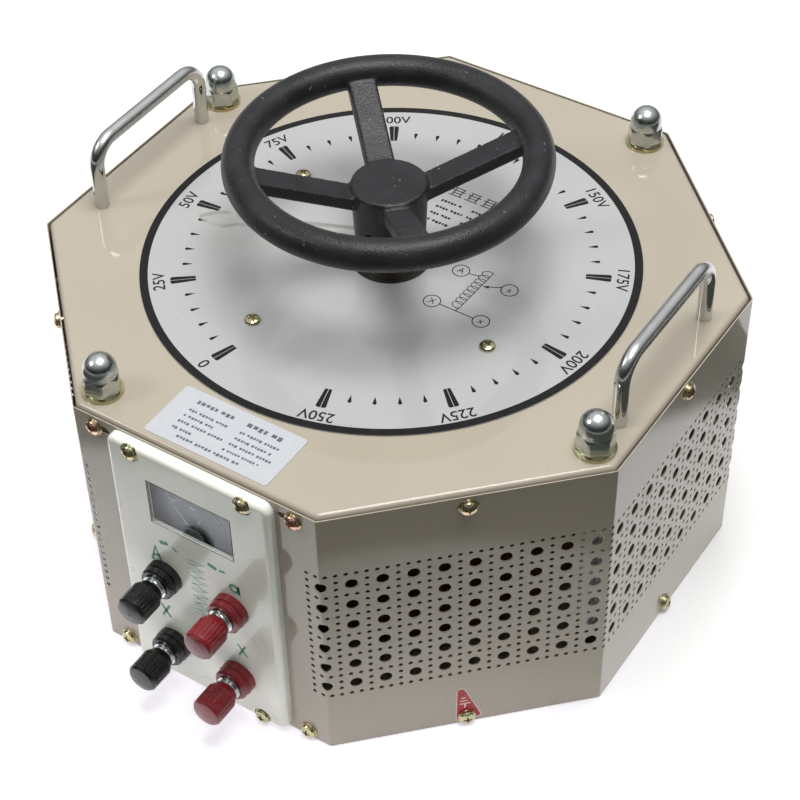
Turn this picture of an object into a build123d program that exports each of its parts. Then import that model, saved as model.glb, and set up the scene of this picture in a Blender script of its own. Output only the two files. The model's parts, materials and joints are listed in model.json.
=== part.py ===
"""Bench variable autotransformer in an octagonal sheet-steel case.

Origin: centre of the underside of the base plate, on the shaft axis.
+Z is up, -Y is the terminal side, +X is the operator's right.
All sizes are millimetres.
"""
from build123d import *
import math
import os

os.makedirs("parts", exist_ok=True)

# ---------------------------------------------------------------- driving dimensions
SIDES = 8
OCTAGON_TURN = 180 / SIDES

CASE_FLATS = 360.0
CASE_HALF = CASE_FLATS / 2
WRAP_SHEET = 1.0
WRAP_LOW = 0.6
WRAP_HIGH = 177.6
BEND_GAP = 0.06
PANEL_OPENING = (84.0, 152.0)
PANEL_OPENING_HEIGHT = 88.0

PAN_FLATS = 356.4
PAN_CORNER = 5.0
COVER_TOP = 179.0
COVER_SHEET = 2.0
COVER_DEPTH = 16.0
COVER_FOLD = 3.0
BASE_SHEET = 3.0
BASE_WALL = 2.0
BASE_DEPTH = 14.0

HOLE_PITCH = 15.585
BIG_HOLE_RADIUS = 3.25
HOLE_ROWS = 6
HOLE_MID_HEIGHT = 90.0
PATTERN_START = 66.6
BEND_CLEARANCE = 1.5

UPPER_SCREW_HEIGHT = 171.0
LOWER_SCREW_HEIGHT = 5.6
FRONT_SCREW_OFFSET = 61.0
SLOT_LENGTH = 11.0
CLEAR_HOLE = 2.2
TAPPED_HOLE = 2.0
NUT_HOLE = 6.4
HANDLE_SCREW_HOLE = 2.7
CLAMP_BOLT_HOLE = 4.0

TIE_ROD_RADIUS = 177.0
TIE_ROD_START = -112.5
QUARTERS = 4
DIAL_SCREW_CIRCLE = 88.0
HANDLE_LEFT = -162.5
HANDLE_RIGHT = 165.0
HANDLE_Y = 46.2
HANDLE_HEIGHT = 43.8
HANDLE_WIRE = 4.1
HANDLE_BEND = 14.0

DIAL_RADIUS = 137.2
DIAL_HOLE = 21.8
DIAL_SHEET = 0.8
DIAL_TOP = COVER_TOP + DIAL_SHEET

PANEL_WIDTH = 100.0
PANEL_LOW = 1.5
PANEL_HIGH = 176.5
PANEL_DEPTH = 6.0
PANEL_WALL = 2.5
PANEL_FACE = CASE_HALF + PANEL_DEPTH
PANEL_SCREW_X = 34.5
PANEL_SCREW_HIGH = 171.3
PANEL_RECESS = 1.2

METER_HEIGHT = 141.0
WINDOW_WIDTH = 52.0
WINDOW_HEIGHT = 30.0
NEEDLE_PIVOT_X = -1.0
NEEDLE_PIVOT_Z = 126.0
NEEDLE_REST_ANGLE = 38.0
NEEDLE_LENGTH = 25.0

POST_X = 21.4
POST_UPPER_Z = 87.0
POST_LOWER_Z = 32.0
STUD_RADIUS = 3.0
STUD_BORE = 3.06
POST_BASE_LENGTH = 9.0
RING_START = 9.3
RING_END = 12.4
KNOB_START = 12.5
KNOB_END = 31.5
KNOB_FLUTES = 24

SHAFT_RADIUS = 8.0
RUNNING_BORE = 8.05
CLAMPED_BORE = 8.02
SHAFT_LOW = 88.0
SHAFT_HIGH = 228.0

RIM_RADIUS = 78.2
RIM_TUBE = 8.7
RIM_HEIGHT = 247.2
HUB_TOP = 231.5
HUB_LOW = 197.5
HUB_TOP_RADIUS = 20.7
HUB_LOW_RADIUS = 19.2
SPOKES = 4
SPOKE_START = 45.0
SPOKE_HUB_HEIGHT = 225.0
SPOKE_RIM_HEIGHT = 246.2
SPOKE_RIM_RADIUS = 74.0
SPOKE_INNER_END = 8.0
SPOKE_OUTER_END = 76.5
SPOKE_TOP_HALF = 7.5
SPOKE_LOW_HALF = 8.3
SPOKE_HALF_DEPTH = 3.7
HUB_EDGE = 1.2
SET_SCREW_HEIGHT = HUB_LOW + 8.0
SET_SCREW_RADIUS = 3.0
SET_SCREW_LENGTH = 8.0
POINTER_ANGLE = -157.0
POINTER_LENGTH = 105.4
POINTER_DISC = 14.0
POINTER_NECK = 3.3
POINTER_HEAD = 6.0
POINTER_HEAD_START = 84.0
POINTER_HEAD_WIDEST = 90.0

CORE_INNER = 76.0
CORE_OUTER = 122.0
CORE_LOW = 20.0
CORE_HIGH = 118.0
INSULATION = 2.0
WINDING_WALL = 5.0
WINDING_LOW = CORE_LOW - INSULATION - WINDING_WALL
WINDING_HIGH = CORE_HIGH + INSULATION + WINDING_WALL
CLAMP_DISC = 8.0
CLAMP_BOLT_CIRCLE = 45.0
CLAMP_BOLT_START = 45.0
FLANGE_TOP = WINDING_HIGH + CLAMP_DISC + 6.0
STOP_CIRCLE = 26.0
ARM_LOW = FLANGE_TOP + 10.0
ARM_HIGH = ARM_LOW + 8.0
BRUSH_CIRCLE = 108.0


# ---------------------------------------------------------------- helpers
def keep(piece, name):
    """Label a finished piece and write its STEP file."""
    piece.part.label = name
    export_step(piece.part, f"parts/{name}.step")


def octagon(across_flats):
    """Add an octagon with flats towards X and Y to the sketch being built."""
    RegularPolygon(across_flats / 2, SIDES, major_radius=False, rotation=OCTAGON_TURN)


def side_plane(side, distance):
    """Plane on one side of the case: x runs along the side, y is up, z points outward."""
    angle = math.radians(-90 + 45 * side)
    outward = Vector(math.cos(angle), math.sin(angle), 0)
    along = Vector(-math.sin(angle), math.cos(angle), 0)
    return Plane(origin=outward * distance, x_dir=along, z_dir=outward)


def side_spot(side, along, height, distance):
    """Location on one side of the case, its z axis pointing outward."""
    return side_plane(side, distance).location * Location((along, height, 0))


def ring(inner, outer, low, high):
    """Add a plain ring about the shaft axis to the part being built."""
    with BuildSketch(Plane.XY.offset(low)) as section:
        Circle(outer)
        Circle(inner, mode=Mode.SUBTRACT)
    extrude(section.sketch, amount=high - low)


def turned(points):
    """Revolve a closed outline of (radius, height) points about Z in the part being built."""
    with BuildSketch(Plane.XZ) as section:
        with BuildLine():
            Polyline(*points, close=True)
        make_face()
    revolve(section.sketch, axis=Axis.Z)


def crown(width, rise, top):
    """Add the arc of a crown centred on the axis: half width, rise and height of its top."""
    RadiusArc((width, top - rise), (0, top), -(width**2 + rise**2) / (2 * rise))


def place(piece, spots):
    """Add a copy of a finished piece at each spot to the part being built."""
    with Locations(*spots):
        add(piece.part)


def spots_on(places, height, distance):
    """Locations at one height for a list of (side, distance along it)."""
    return [side_spot(side, along, height, distance) for side, along in places]


# Places of the screws: (side, distance along the side), or (x, height) on the panel.
FRONT_SPOTS = [(0, -FRONT_SCREW_OFFSET), (0, FRONT_SCREW_OFFSET)]
UPPER_SPOTS = [(side, 0.0) for side in range(1, SIDES)] + FRONT_SPOTS
LOWER_SPOTS = [(side, 0.0) for side in range(2, SIDES)] + FRONT_SPOTS
EARTH_SPOT = [(1, 0.0)]
PANEL_COLUMNS = [(0, -PANEL_SCREW_X), (0, PANEL_SCREW_X)]
PANEL_SPOTS = [
    (x, z) for x in (-PANEL_SCREW_X, PANEL_SCREW_X) for z in (LOWER_SCREW_HEIGHT, PANEL_SCREW_HIGH)
]
HANDLE_FEET = [(x, y) for x in (HANDLE_LEFT, HANDLE_RIGHT) for y in (-HANDLE_Y, HANDLE_Y)]

# ---------------------------------------------------------------- case: cover, base, wrap
with BuildPart() as top_cover:
    with BuildSketch(Plane.XY.offset(COVER_TOP - COVER_DEPTH)):
        octagon(PAN_FLATS)
    extrude(amount=COVER_DEPTH)
    fillet(top_cover.edges().filter_by(Axis.Z), PAN_CORNER)
    fillet(top_cover.faces().sort_by(Axis.Z)[-1].edges(), COVER_FOLD)
    with BuildSketch(Plane.XY.offset(COVER_TOP - COVER_DEPTH)):
        octagon(PAN_FLATS - 2 * COVER_SHEET)
    extrude(amount=COVER_DEPTH - COVER_SHEET, mode=Mode.SUBTRACT)
    with Locations((0, 0, COVER_TOP)):
        Hole(DIAL_HOLE + 0.4, depth=2 * COVER_SHEET)
        with PolarLocations(TIE_ROD_RADIUS, QUARTERS, start_angle=TIE_ROD_START):
            Hole(NUT_HOLE, depth=2 * COVER_SHEET)
        with PolarLocations(DIAL_SCREW_CIRCLE, QUARTERS, start_angle=TIE_ROD_START):
            Hole(CLEAR_HOLE, depth=2 * COVER_SHEET)
    with Locations(*[(x, y, COVER_TOP) for x, y in HANDLE_FEET]):
        Hole(HANDLE_SCREW_HOLE, depth=2 * COVER_SHEET)
    with Locations(*spots_on(UPPER_SPOTS, UPPER_SCREW_HEIGHT, PAN_FLATS / 2)):
        Hole(TAPPED_HOLE, depth=2 * COVER_SHEET)
    with Locations(*spots_on(PANEL_COLUMNS, PANEL_SCREW_HIGH, PAN_FLATS / 2)):
        Hole(TAPPED_HOLE, depth=2 * COVER_SHEET)
keep(top_cover, "top_cover")

with BuildPart() as base_plate:
    with BuildSketch():
        octagon(PAN_FLATS)
    extrude(amount=BASE_DEPTH)
    fillet(base_plate.edges().filter_by(Axis.Z), PAN_CORNER)
    with BuildSketch(Plane.XY.offset(BASE_SHEET)):
        octagon(PAN_FLATS - 2 * BASE_WALL)
    extrude(amount=BASE_DEPTH, mode=Mode.SUBTRACT)
    # countersinks for the tie-rod screws, opening downwards
    with PolarLocations(TIE_ROD_RADIUS, QUARTERS, start_angle=TIE_ROD_START):
        Cone(6.1, 3.2, BASE_SHEET, align=(Align.CENTER, Align.CENTER, Align.MIN), mode=Mode.SUBTRACT)
    with Locations((0, 0, BASE_SHEET)):
        with PolarLocations(CLAMP_BOLT_CIRCLE, QUARTERS, start_angle=CLAMP_BOLT_START):
            Hole(CLAMP_BOLT_HOLE, depth=BASE_SHEET)
    with Locations(*spots_on(LOWER_SPOTS + EARTH_SPOT + PANEL_COLUMNS, LOWER_SCREW_HEIGHT, PAN_FLATS / 2)):
        Hole(TAPPED_HOLE, depth=2 * BASE_WALL)
keep(base_plate, "base_plate")


def wrap_flat(side):
    """Add one flat length of the wrap, mitred where it meets its neighbours at the bends."""
    outer = CASE_HALF * math.tan(math.radians(OCTAGON_TURN)) - BEND_GAP
    inner = outer - WRAP_SHEET * math.tan(math.radians(OCTAGON_TURN))
    foot = Plane(origin=(0, 0, WRAP_LOW), x_dir=side_plane(side, 0).x_dir, z_dir=(0, 0, 1))
    with BuildSketch(foot) as section:
        with BuildLine():
            Polyline(
                (-outer, -CASE_HALF),
                (outer, -CASE_HALF),
                (inner, WRAP_SHEET - CASE_HALF),
                (-inner, WRAP_SHEET - CASE_HALF),
                close=True,
            )
        make_face()
    extrude(section.sketch, amount=WRAP_HIGH - WRAP_LOW)


def columns_on(side):
    """Distances along a side at which a full column of large holes stands clear of the bends."""
    half_side = CASE_HALF * math.tan(math.radians(OCTAGON_TURN))
    first = half_side - PATTERN_START
    count = round(SIDES * 2 * half_side / HOLE_PITCH)
    offsets = [HOLE_PITCH * (c + 0.5) - first - half_side * (2 * side - 1) for c in range(count)]
    return [u for u in offsets if abs(u) < half_side - BIG_HOLE_RADIUS - BEND_CLEARANCE]


HOLE_HEIGHTS = [HOLE_MID_HEIGHT + HOLE_PITCH * (r - (HOLE_ROWS - 1) / 2) for r in range(HOLE_ROWS)]

with BuildPart() as side_wrap:
    for number in range(1, SIDES):
        wrap_flat(number)
    for number in range(1, SIDES):
        with BuildSketch(side_plane(number, CASE_HALF)):
            with Locations(*[(u, z) for u in columns_on(number) for z in HOLE_HEIGHTS]):
                Circle(BIG_HOLE_RADIUS)
            with Locations((0, UPPER_SCREW_HEIGHT)):
                SlotOverall(SLOT_LENGTH, 2 * CLEAR_HOLE)
            with Locations((0, LOWER_SCREW_HEIGHT)):
                Circle(CLEAR_HOLE)
        extrude(amount=-3 * WRAP_SHEET, mode=Mode.SUBTRACT)
keep(side_wrap, "side_wrap")

with BuildPart() as wrap_front:
    wrap_flat(0)
    with BuildSketch(side_plane(0, CASE_HALF)):
        # opening behind the terminal panel
        with Locations((0, PANEL_OPENING_HEIGHT)):
            RectangleRounded(*PANEL_OPENING, 4)
        with Locations(*[(along, UPPER_SCREW_HEIGHT) for _, along in FRONT_SPOTS]):
            SlotOverall(SLOT_LENGTH, 2 * CLEAR_HOLE)
        with Locations(*[(along, LOWER_SCREW_HEIGHT) for _, along in FRONT_SPOTS]):
            Circle(CLEAR_HOLE)
        with Locations(*PANEL_SPOTS):
            Circle(CLEAR_HOLE)
    extrude(amount=-3 * WRAP_SHEET, mode=Mode.SUBTRACT)
keep(wrap_front, "wrap_front")

# ---------------------------------------------------------------- fasteners of the case
SCREW_HEAD = 4.3
SCREW_HEAD_HEIGHT = 2.8
SCREW_SHANK = 1.95
SCREW_LENGTH = 7.0
WASHER_RADIUS = 5.0
WASHER_SHEET = 0.8

with BuildPart() as pan_screw:
    # domed head above z = 0, shank below it, cross recess in the crown
    with BuildSketch(Plane.XZ):
        with BuildLine():
            Polyline(
                (0, SCREW_HEAD_HEIGHT),
                (0, -SCREW_LENGTH),
                (SCREW_SHANK - 0.4, -SCREW_LENGTH),
                (SCREW_SHANK, 0.4 - SCREW_LENGTH),
                (SCREW_SHANK, 0),
                (SCREW_HEAD, 0),
                (SCREW_HEAD, 1.0),
                (SCREW_HEAD - 0.4, SCREW_HEAD_HEIGHT - 1.1),
            )
            crown(SCREW_HEAD - 0.4, 1.1, SCREW_HEAD_HEIGHT)
        make_face()
    revolve(axis=Axis.Z)
    with BuildSketch(Plane.XY.offset(SCREW_HEAD_HEIGHT)):
        Rectangle(4.6, 1.0)
        Rectangle(1.0, 4.6)
    extrude(amount=-1.3, mode=Mode.SUBTRACT)
    with BuildSketch(Plane.XY.offset(SCREW_HEAD_HEIGHT)):
        Circle(1.1)
    extrude(amount=-1.9, mode=Mode.SUBTRACT)

with BuildPart() as flat_washer:
    ring(CLEAR_HOLE, WASHER_RADIUS, 0, WASHER_SHEET)
    fillet(flat_washer.faces().sort_by(Axis.Z)[-1].edges().sort_by(SortBy.LENGTH)[-1], 0.3)

SEAT = CASE_HALF + WASHER_SHEET
with BuildPart() as cover_side_screws:
    place(pan_screw, spots_on(UPPER_SPOTS, UPPER_SCREW_HEIGHT, SEAT))
keep(cover_side_screws, "cover_side_screws")

with BuildPart() as base_side_screws:
    place(pan_screw, spots_on(LOWER_SPOTS, LOWER_SCREW_HEIGHT, SEAT))
keep(base_side_screws, "base_side_screws")

PANEL_SEAT = PANEL_FACE - PANEL_RECESS
with BuildPart() as side_screw_washers:
    place(flat_washer, spots_on(UPPER_SPOTS, UPPER_SCREW_HEIGHT, CASE_HALF))
    place(flat_washer, spots_on(LOWER_SPOTS + EARTH_SPOT, LOWER_SCREW_HEIGHT, CASE_HALF))
    place(flat_washer, [side_spot(0, x, z, PANEL_SEAT) for x, z in PANEL_SPOTS])
keep(side_screw_washers, "side_screw_washers")

with BuildPart() as panel_screw:
    add(pan_screw.part)
    with Locations((0, 0, -SCREW_LENGTH)):
        Cylinder(SCREW_SHANK, 4.0, align=(Align.CENTER, Align.CENTER, Align.MAX))

with BuildPart() as panel_screws:
    place(panel_screw, [side_spot(0, x, z, PANEL_SEAT + WASHER_SHEET) for x, z in PANEL_SPOTS])
keep(panel_screws, "panel_screws")

with BuildPart() as earth_screw:
    add(pan_screw.part)
    ring(SCREW_SHANK, SCREW_HEAD + 0.5, 0, 0.9)

with BuildPart() as ground_screw:
    place(earth_screw, spots_on(EARTH_SPOT, LOWER_SCREW_HEIGHT, SEAT))
keep(ground_screw, "ground_screw")

TAG_LOW = 11.2
TAG_HIGH = 27.0
TAG_HALF_WIDTH = 6.2
with BuildPart() as ground_tag:
    with BuildSketch(side_plane(1, CASE_HALF)) as tag_outline:
        with BuildLine():
            Polyline((-TAG_HALF_WIDTH, TAG_LOW), (TAG_HALF_WIDTH, TAG_LOW), (0, TAG_HIGH), close=True)
        make_face()
        fillet(tag_outline.vertices(), 1.4)
    extrude(amount=0.25)
keep(ground_tag, "ground_tag")

# ---------------------------------------------------------------- tie rods and their nuts
NUT_WASHER = 1.8
NUT_LOW = COVER_TOP + NUT_WASHER
NUT_HEIGHT = 22.4
NUT_FLATS = 17.8
NUT_HEX = 9.8
DOME_RADIUS = 8.9
THREAD_RADIUS = 5.95

TIE_ROD_TOP = NUT_LOW + 15.0
with BuildPart() as tie_rod:
    # shouldered rod: the cover rests on the shoulder, the thread carries the cap nut
    turned(
        [
            (3.1, BASE_SHEET),
            (8.0, BASE_SHEET),
            (8.0, COVER_TOP - COVER_SHEET),
            (THREAD_RADIUS, COVER_TOP - COVER_SHEET),
            (THREAD_RADIUS, TIE_ROD_TOP),
            (0, TIE_ROD_TOP),
            (0, BASE_SHEET + 20),
            (3.1, BASE_SHEET + 20),
        ]
    )
    chamfer(tie_rod.edges().filter_by(GeomType.CIRCLE).sort_by(Axis.Z)[-1], 0.8)

with BuildPart() as tie_rods:
    with PolarLocations(TIE_ROD_RADIUS, QUARTERS, start_angle=TIE_ROD_START):
        add(tie_rod.part)
keep(tie_rods, "tie_rods")

HEX_HEIGHT = 10.5
with BuildPart() as acorn_nut:
    # hexagon with chamfered corners below, dome above, blind thread from below
    turned(
        [
            (0, 0),
            (NUT_HEX - 1.2, 0),
            (NUT_HEX, 0.9),
            (NUT_HEX, HEX_HEIGHT - 1.4),
            (DOME_RADIUS, HEX_HEIGHT),
            (0, HEX_HEIGHT),
        ]
    )
    with BuildSketch(Plane.XZ):
        with BuildLine():
            Line((0, 0), (DOME_RADIUS, 0))
            Line((DOME_RADIUS, 0), (DOME_RADIUS, NUT_HEIGHT - DOME_RADIUS))
            RadiusArc((DOME_RADIUS, NUT_HEIGHT - DOME_RADIUS), (0, NUT_HEIGHT), -DOME_RADIUS)
            Line((0, NUT_HEIGHT), (0, 0))
        make_face()
    revolve(axis=Axis.Z)
    with BuildSketch():
        RegularPolygon(NUT_FLATS / 2, 6, major_radius=False)
    extrude(amount=NUT_HEIGHT, mode=Mode.INTERSECT)
    Hole(THREAD_RADIUS + 0.05, depth=16.0)

with BuildPart() as acorn_nuts:
    with Locations((0, 0, NUT_LOW)):
        with PolarLocations(TIE_ROD_RADIUS, QUARTERS, start_angle=TIE_ROD_START):
            add(acorn_nut.part)
keep(acorn_nuts, "acorn_nuts")

with BuildPart() as acorn_washers:
    with BuildSketch(Plane.XY.offset(COVER_TOP)):
        with PolarLocations(TIE_ROD_RADIUS, QUARTERS, start_angle=TIE_ROD_START):
            Circle(10.9)
            Circle(6.3, mode=Mode.SUBTRACT)
    extrude(amount=NUT_WASHER)
keep(acorn_washers, "acorn_washers")

with BuildPart() as countersunk_screw:
    turned([(0, 0.1), (5.9, 0.1), (3.0, BASE_SHEET), (3.0, 16.0), (0, 16.0)])
    with BuildSketch(Plane.XY.offset(0.1)):
        RegularPolygon(2.3, 6)
    extrude(amount=1.8, mode=Mode.SUBTRACT)

with BuildPart() as tie_rod_screws:
    with PolarLocations(TIE_ROD_RADIUS, QUARTERS, start_angle=TIE_ROD_START):
        add(countersunk_screw.part)
keep(tie_rod_screws, "tie_rod_screws")

# ---------------------------------------------------------------- carrying handles
HANDLE_TOP = COVER_TOP + HANDLE_HEIGHT - HANDLE_WIRE


def handle(x):
    """Add a bent-wire handle standing on the cover at the given x."""
    with BuildLine(Plane.YZ.offset(x)) as route:
        FilletPolyline(
            (-HANDLE_Y, COVER_TOP),
            (-HANDLE_Y, HANDLE_TOP),
            (HANDLE_Y, HANDLE_TOP),
            (HANDLE_Y, COVER_TOP),
            radius=HANDLE_BEND,
        )
    with BuildSketch(Plane.XY.offset(COVER_TOP)) as wire:
        with Locations((x, -HANDLE_Y)):
            Circle(HANDLE_WIRE)
    sweep(wire.sketch, path=route.line)
    # threaded feet take the screws from below
    with Locations((x, -HANDLE_Y, COVER_TOP), (x, HANDLE_Y, COVER_TOP)):
        Hole(2.55, depth=12)


with BuildPart() as handle_left:
    handle(HANDLE_LEFT)
keep(handle_left, "handle_left")

with BuildPart() as handle_right:
    handle(HANDLE_RIGHT)
keep(handle_right, "handle_right")

COVER_UNDERSIDE = COVER_TOP - COVER_SHEET
with BuildPart() as handle_screws:
    with BuildSketch(Plane.XY.offset(COVER_UNDERSIDE - 3.5)):
        with Locations(*HANDLE_FEET):
            RegularPolygon(4.0, 6, major_radius=False)
    extrude(amount=3.5)
    with BuildSketch(Plane.XY.offset(COVER_UNDERSIDE)):
        with Locations(*HANDLE_FEET):
            Circle(2.5)
    extrude(amount=12.0)
keep(handle_screws, "handle_screws")

# ---------------------------------------------------------------- dial and label
with BuildPart() as dial_plate:
    with BuildSketch(Plane.XY.offset(COVER_TOP)):
        Circle(DIAL_RADIUS)
        Circle(DIAL_HOLE, mode=Mode.SUBTRACT)
        with PolarLocations(DIAL_SCREW_CIRCLE, QUARTERS, start_angle=TIE_ROD_START):
            Circle(CLEAR_HOLE, mode=Mode.SUBTRACT)
    extrude(amount=DIAL_SHEET)
keep(dial_plate, "dial_plate")

with BuildPart() as dial_screws:
    with Locations((0, 0, DIAL_TOP)):
        with PolarLocations(DIAL_SCREW_CIRCLE, QUARTERS, start_angle=TIE_ROD_START):
            add(pan_screw.part)
keep(dial_screws, "dial_screws")

with BuildPart() as rating_label:
    with BuildSketch(Plane.XY.offset(COVER_TOP)):
        with Locations((4.0, -156.2)):
            RectangleRounded(75.0, 36.6, 1.0)
    extrude(amount=0.25)
keep(rating_label, "rating_label")

# ---------------------------------------------------------------- terminal panel and meter
PANEL_HEIGHT = PANEL_HIGH - PANEL_LOW
PANEL_MIDDLE = (PANEL_HIGH + PANEL_LOW) / 2
POST_SPOTS = [(x, z) for x in (-POST_X, POST_X) for z in (POST_LOWER_Z, POST_UPPER_Z)]

with BuildPart() as terminal_panel:
    with BuildSketch(side_plane(0, CASE_HALF)):
        with Locations((0, PANEL_MIDDLE)):
            RectangleRounded(PANEL_WIDTH, PANEL_HEIGHT, 6.0)
    extrude(amount=PANEL_DEPTH)
    fillet(terminal_panel.faces().sort_by(Axis.Y)[0].edges(), 3.5)
    with BuildSketch(side_plane(0, CASE_HALF)):
        with Locations((0, PANEL_MIDDLE)):
            RectangleRounded(PANEL_WIDTH - 2 * PANEL_WALL, PANEL_HEIGHT - 2 * PANEL_WALL, 3.5)
        with Locations(*PANEL_SPOTS):
            Circle(6.6, mode=Mode.SUBTRACT)
    extrude(amount=PANEL_DEPTH - PANEL_WALL, mode=Mode.SUBTRACT)
    with BuildSketch(side_plane(0, PANEL_FACE)):
        with Locations((0, METER_HEIGHT)):
            RectangleRounded(WINDOW_WIDTH, WINDOW_HEIGHT, 1.0)
        with Locations(*POST_SPOTS):
            Circle(STUD_RADIUS + 0.2)
        with Locations(*PANEL_SPOTS):
            Circle(CLEAR_HOLE)
    extrude(amount=-PANEL_DEPTH, mode=Mode.SUBTRACT)
    with BuildSketch(side_plane(0, PANEL_FACE)):
        with Locations(*PANEL_SPOTS):
            Circle(WASHER_RADIUS + 0.4)
    extrude(amount=-PANEL_RECESS, mode=Mode.SUBTRACT)
keep(terminal_panel, "terminal_panel")

WINDOW_FRONT = PANEL_FACE - 0.4
WINDOW_SHEET = 1.0
METER_FRONT = PANEL_FACE - PANEL_WALL
METER_DEPTH = 24.0
METER_DIAL_FACE = PANEL_FACE - 5.7
HUB_FRONT = PANEL_FACE - 3.5
COVER_FACE = METER_FRONT - 0.1

with BuildPart() as meter_window:
    with BuildSketch(side_plane(0, WINDOW_FRONT)):
        with Locations((0, METER_HEIGHT)):
            RectangleRounded(WINDOW_WIDTH - 0.3, WINDOW_HEIGHT - 0.3, 0.9)
    extrude(amount=-WINDOW_SHEET)
keep(meter_window, "meter_window")

with BuildPart() as meter_housing:
    with BuildSketch(side_plane(0, METER_FRONT)):
        with Locations((0, METER_HEIGHT)):
            RectangleRounded(60.0, 40.0, 2.0)
    extrude(amount=-METER_DEPTH)
    with BuildSketch(side_plane(0, METER_FRONT)):
        with Locations((0, METER_HEIGHT)):
            RectangleRounded(57.0, 37.0, 1.0)
    extrude(amount=1.5 - METER_DEPTH, mode=Mode.SUBTRACT)
keep(meter_housing, "meter_housing")

with BuildPart() as meter_dial:
    with BuildSketch(side_plane(0, METER_DIAL_FACE)):
        with Locations((0, METER_HEIGHT)):
            RectangleRounded(56.8, 36.8, 1.2)
    extrude(amount=-0.8)
keep(meter_dial, "meter_dial")

with BuildPart() as meter_needle:
    with BuildSketch(side_plane(0, HUB_FRONT)):
        with Locations((NEEDLE_PIVOT_X, NEEDLE_PIVOT_Z)):
            Circle(1.3)
    extrude(amount=-1.9)
    with BuildSketch(side_plane(0, HUB_FRONT - 0.4)):
        with Locations(Location((NEEDLE_PIVOT_X, NEEDLE_PIVOT_Z), NEEDLE_REST_ANGLE)):
            Trapezoid(0.9, NEEDLE_LENGTH, 89.3, align=(Align.CENTER, Align.MIN))
    extrude(amount=-0.3)
keep(meter_needle, "meter_needle")

with BuildPart() as meter_pivot_cover:
    # half-round plate in front of the pivot, on a foot that stands on the scale plate
    with BuildSketch(side_plane(0, COVER_FACE)):
        with Locations((NEEDLE_PIVOT_X, NEEDLE_PIVOT_Z)):
            Circle(7.0)
            with Locations((0, -2.0)):
                Rectangle(20, 10, align=(Align.CENTER, Align.MAX), mode=Mode.SUBTRACT)
                Rectangle(13.0, 1.2, align=(Align.CENTER, Align.MAX))
    extrude(amount=-0.7)
    with BuildSketch(side_plane(0, COVER_FACE - 0.7)):
        with Locations((NEEDLE_PIVOT_X, NEEDLE_PIVOT_Z - 2.0)):
            Rectangle(13.0, 1.2, align=(Align.CENTER, Align.MAX))
    extrude(amount=METER_DIAL_FACE - COVER_FACE + 0.7)
keep(meter_pivot_cover, "meter_pivot_cover")

# ---------------------------------------------------------------- binding posts
with BuildPart() as post_base:
    # stepped insulating collar, height measured outward from the panel
    turned(
        [
            (STUD_RADIUS + 0.1, 0),
            (10.4, 0),
            (10.4, 4.2),
            (9.6, 4.5),
            (9.6, 5.1),
            (10.0, 5.4),
            (10.0, POST_BASE_LENGTH - 1.0),
            (9.0, POST_BASE_LENGTH),
            (STUD_RADIUS + 0.1, POST_BASE_LENGTH),
        ]
    )

with BuildPart() as post_bases_black:
    place(post_base, [side_spot(0, -POST_X, z, PANEL_FACE) for z in (POST_LOWER_Z, POST_UPPER_Z)])
keep(post_bases_black, "post_bases_black")

with BuildPart() as post_bases_red:
    place(post_base, [side_spot(0, POST_X, z, PANEL_FACE) for z in (POST_LOWER_Z, POST_UPPER_Z)])
keep(post_bases_red, "post_bases_red")

STUD_INNER = -18.0
STUD_OUTER = KNOB_START + 13.5
with BuildPart() as post_stud:
    turned([(0, STUD_INNER), (STUD_RADIUS, STUD_INNER), (STUD_RADIUS, STUD_OUTER), (0, STUD_OUTER)])
    chamfer(post_stud.edges().filter_by(GeomType.CIRCLE), 0.5)

with BuildPart() as post_studs:
    place(post_stud, [side_spot(0, x, z, PANEL_FACE) for x, z in POST_SPOTS])
keep(post_studs, "post_studs")

with BuildPart() as post_nuts:
    with BuildSketch(side_plane(0, METER_FRONT)):
        with Locations(*POST_SPOTS):
            RegularPolygon(5.0, 6, major_radius=False)
            Circle(STUD_BORE, mode=Mode.SUBTRACT)
    extrude(amount=-5.0)
keep(post_nuts, "post_nuts")

with BuildPart() as clamp_ring:
    # plated ring carried by the knob, with a waist where the wire is gripped
    turned(
        [
            (STUD_BORE, RING_START),
            (7.2, RING_START),
            (7.2, RING_START + 0.9),
            (6.0, RING_START + 1.2),
            (6.0, RING_END - 0.8),
            (6.8, RING_END),
            (STUD_BORE, RING_END),
        ]
    )

with BuildPart() as post_knob:
    # neck, fluted barrel and shallow domed end, bored for the stud from the panel side
    with BuildSketch(Plane.XZ):
        with BuildLine():
            Polyline(
                (0, KNOB_END),
                (0, STUD_OUTER + 5.0),
                (STUD_BORE, STUD_OUTER + 5.0),
                (STUD_BORE, KNOB_START),
                (6.8, KNOB_START),
                (7.2, KNOB_START + 1.0),
                (8.8, KNOB_START + 4.0),
                (8.8, KNOB_END - 2.2),
                (7.7, KNOB_END - 0.9),
            )
            crown(7.7, 0.9, KNOB_END)
        make_face()
    revolve(axis=Axis.Z)
    with BuildSketch(Plane.XY.offset(KNOB_START + 3.2)):
        with PolarLocations(9.15, KNOB_FLUTES):
            Circle(0.72)
    extrude(amount=KNOB_END - KNOB_START - 6.4, mode=Mode.SUBTRACT)

for column, post_x in (("left", -POST_X), ("right", POST_X)):
    for row, post_z in (("lower", POST_LOWER_Z), ("upper", POST_UPPER_Z)):
        with BuildPart() as post_ring:
            place(clamp_ring, [side_spot(0, post_x, post_z, PANEL_FACE)])
        keep(post_ring, f"clamp_ring_{row}_{column}")
        with BuildPart() as knob:
            place(post_knob, [side_spot(0, post_x, post_z, PANEL_FACE)])
        keep(knob, f"post_knob_{row}_{column}")

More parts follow.
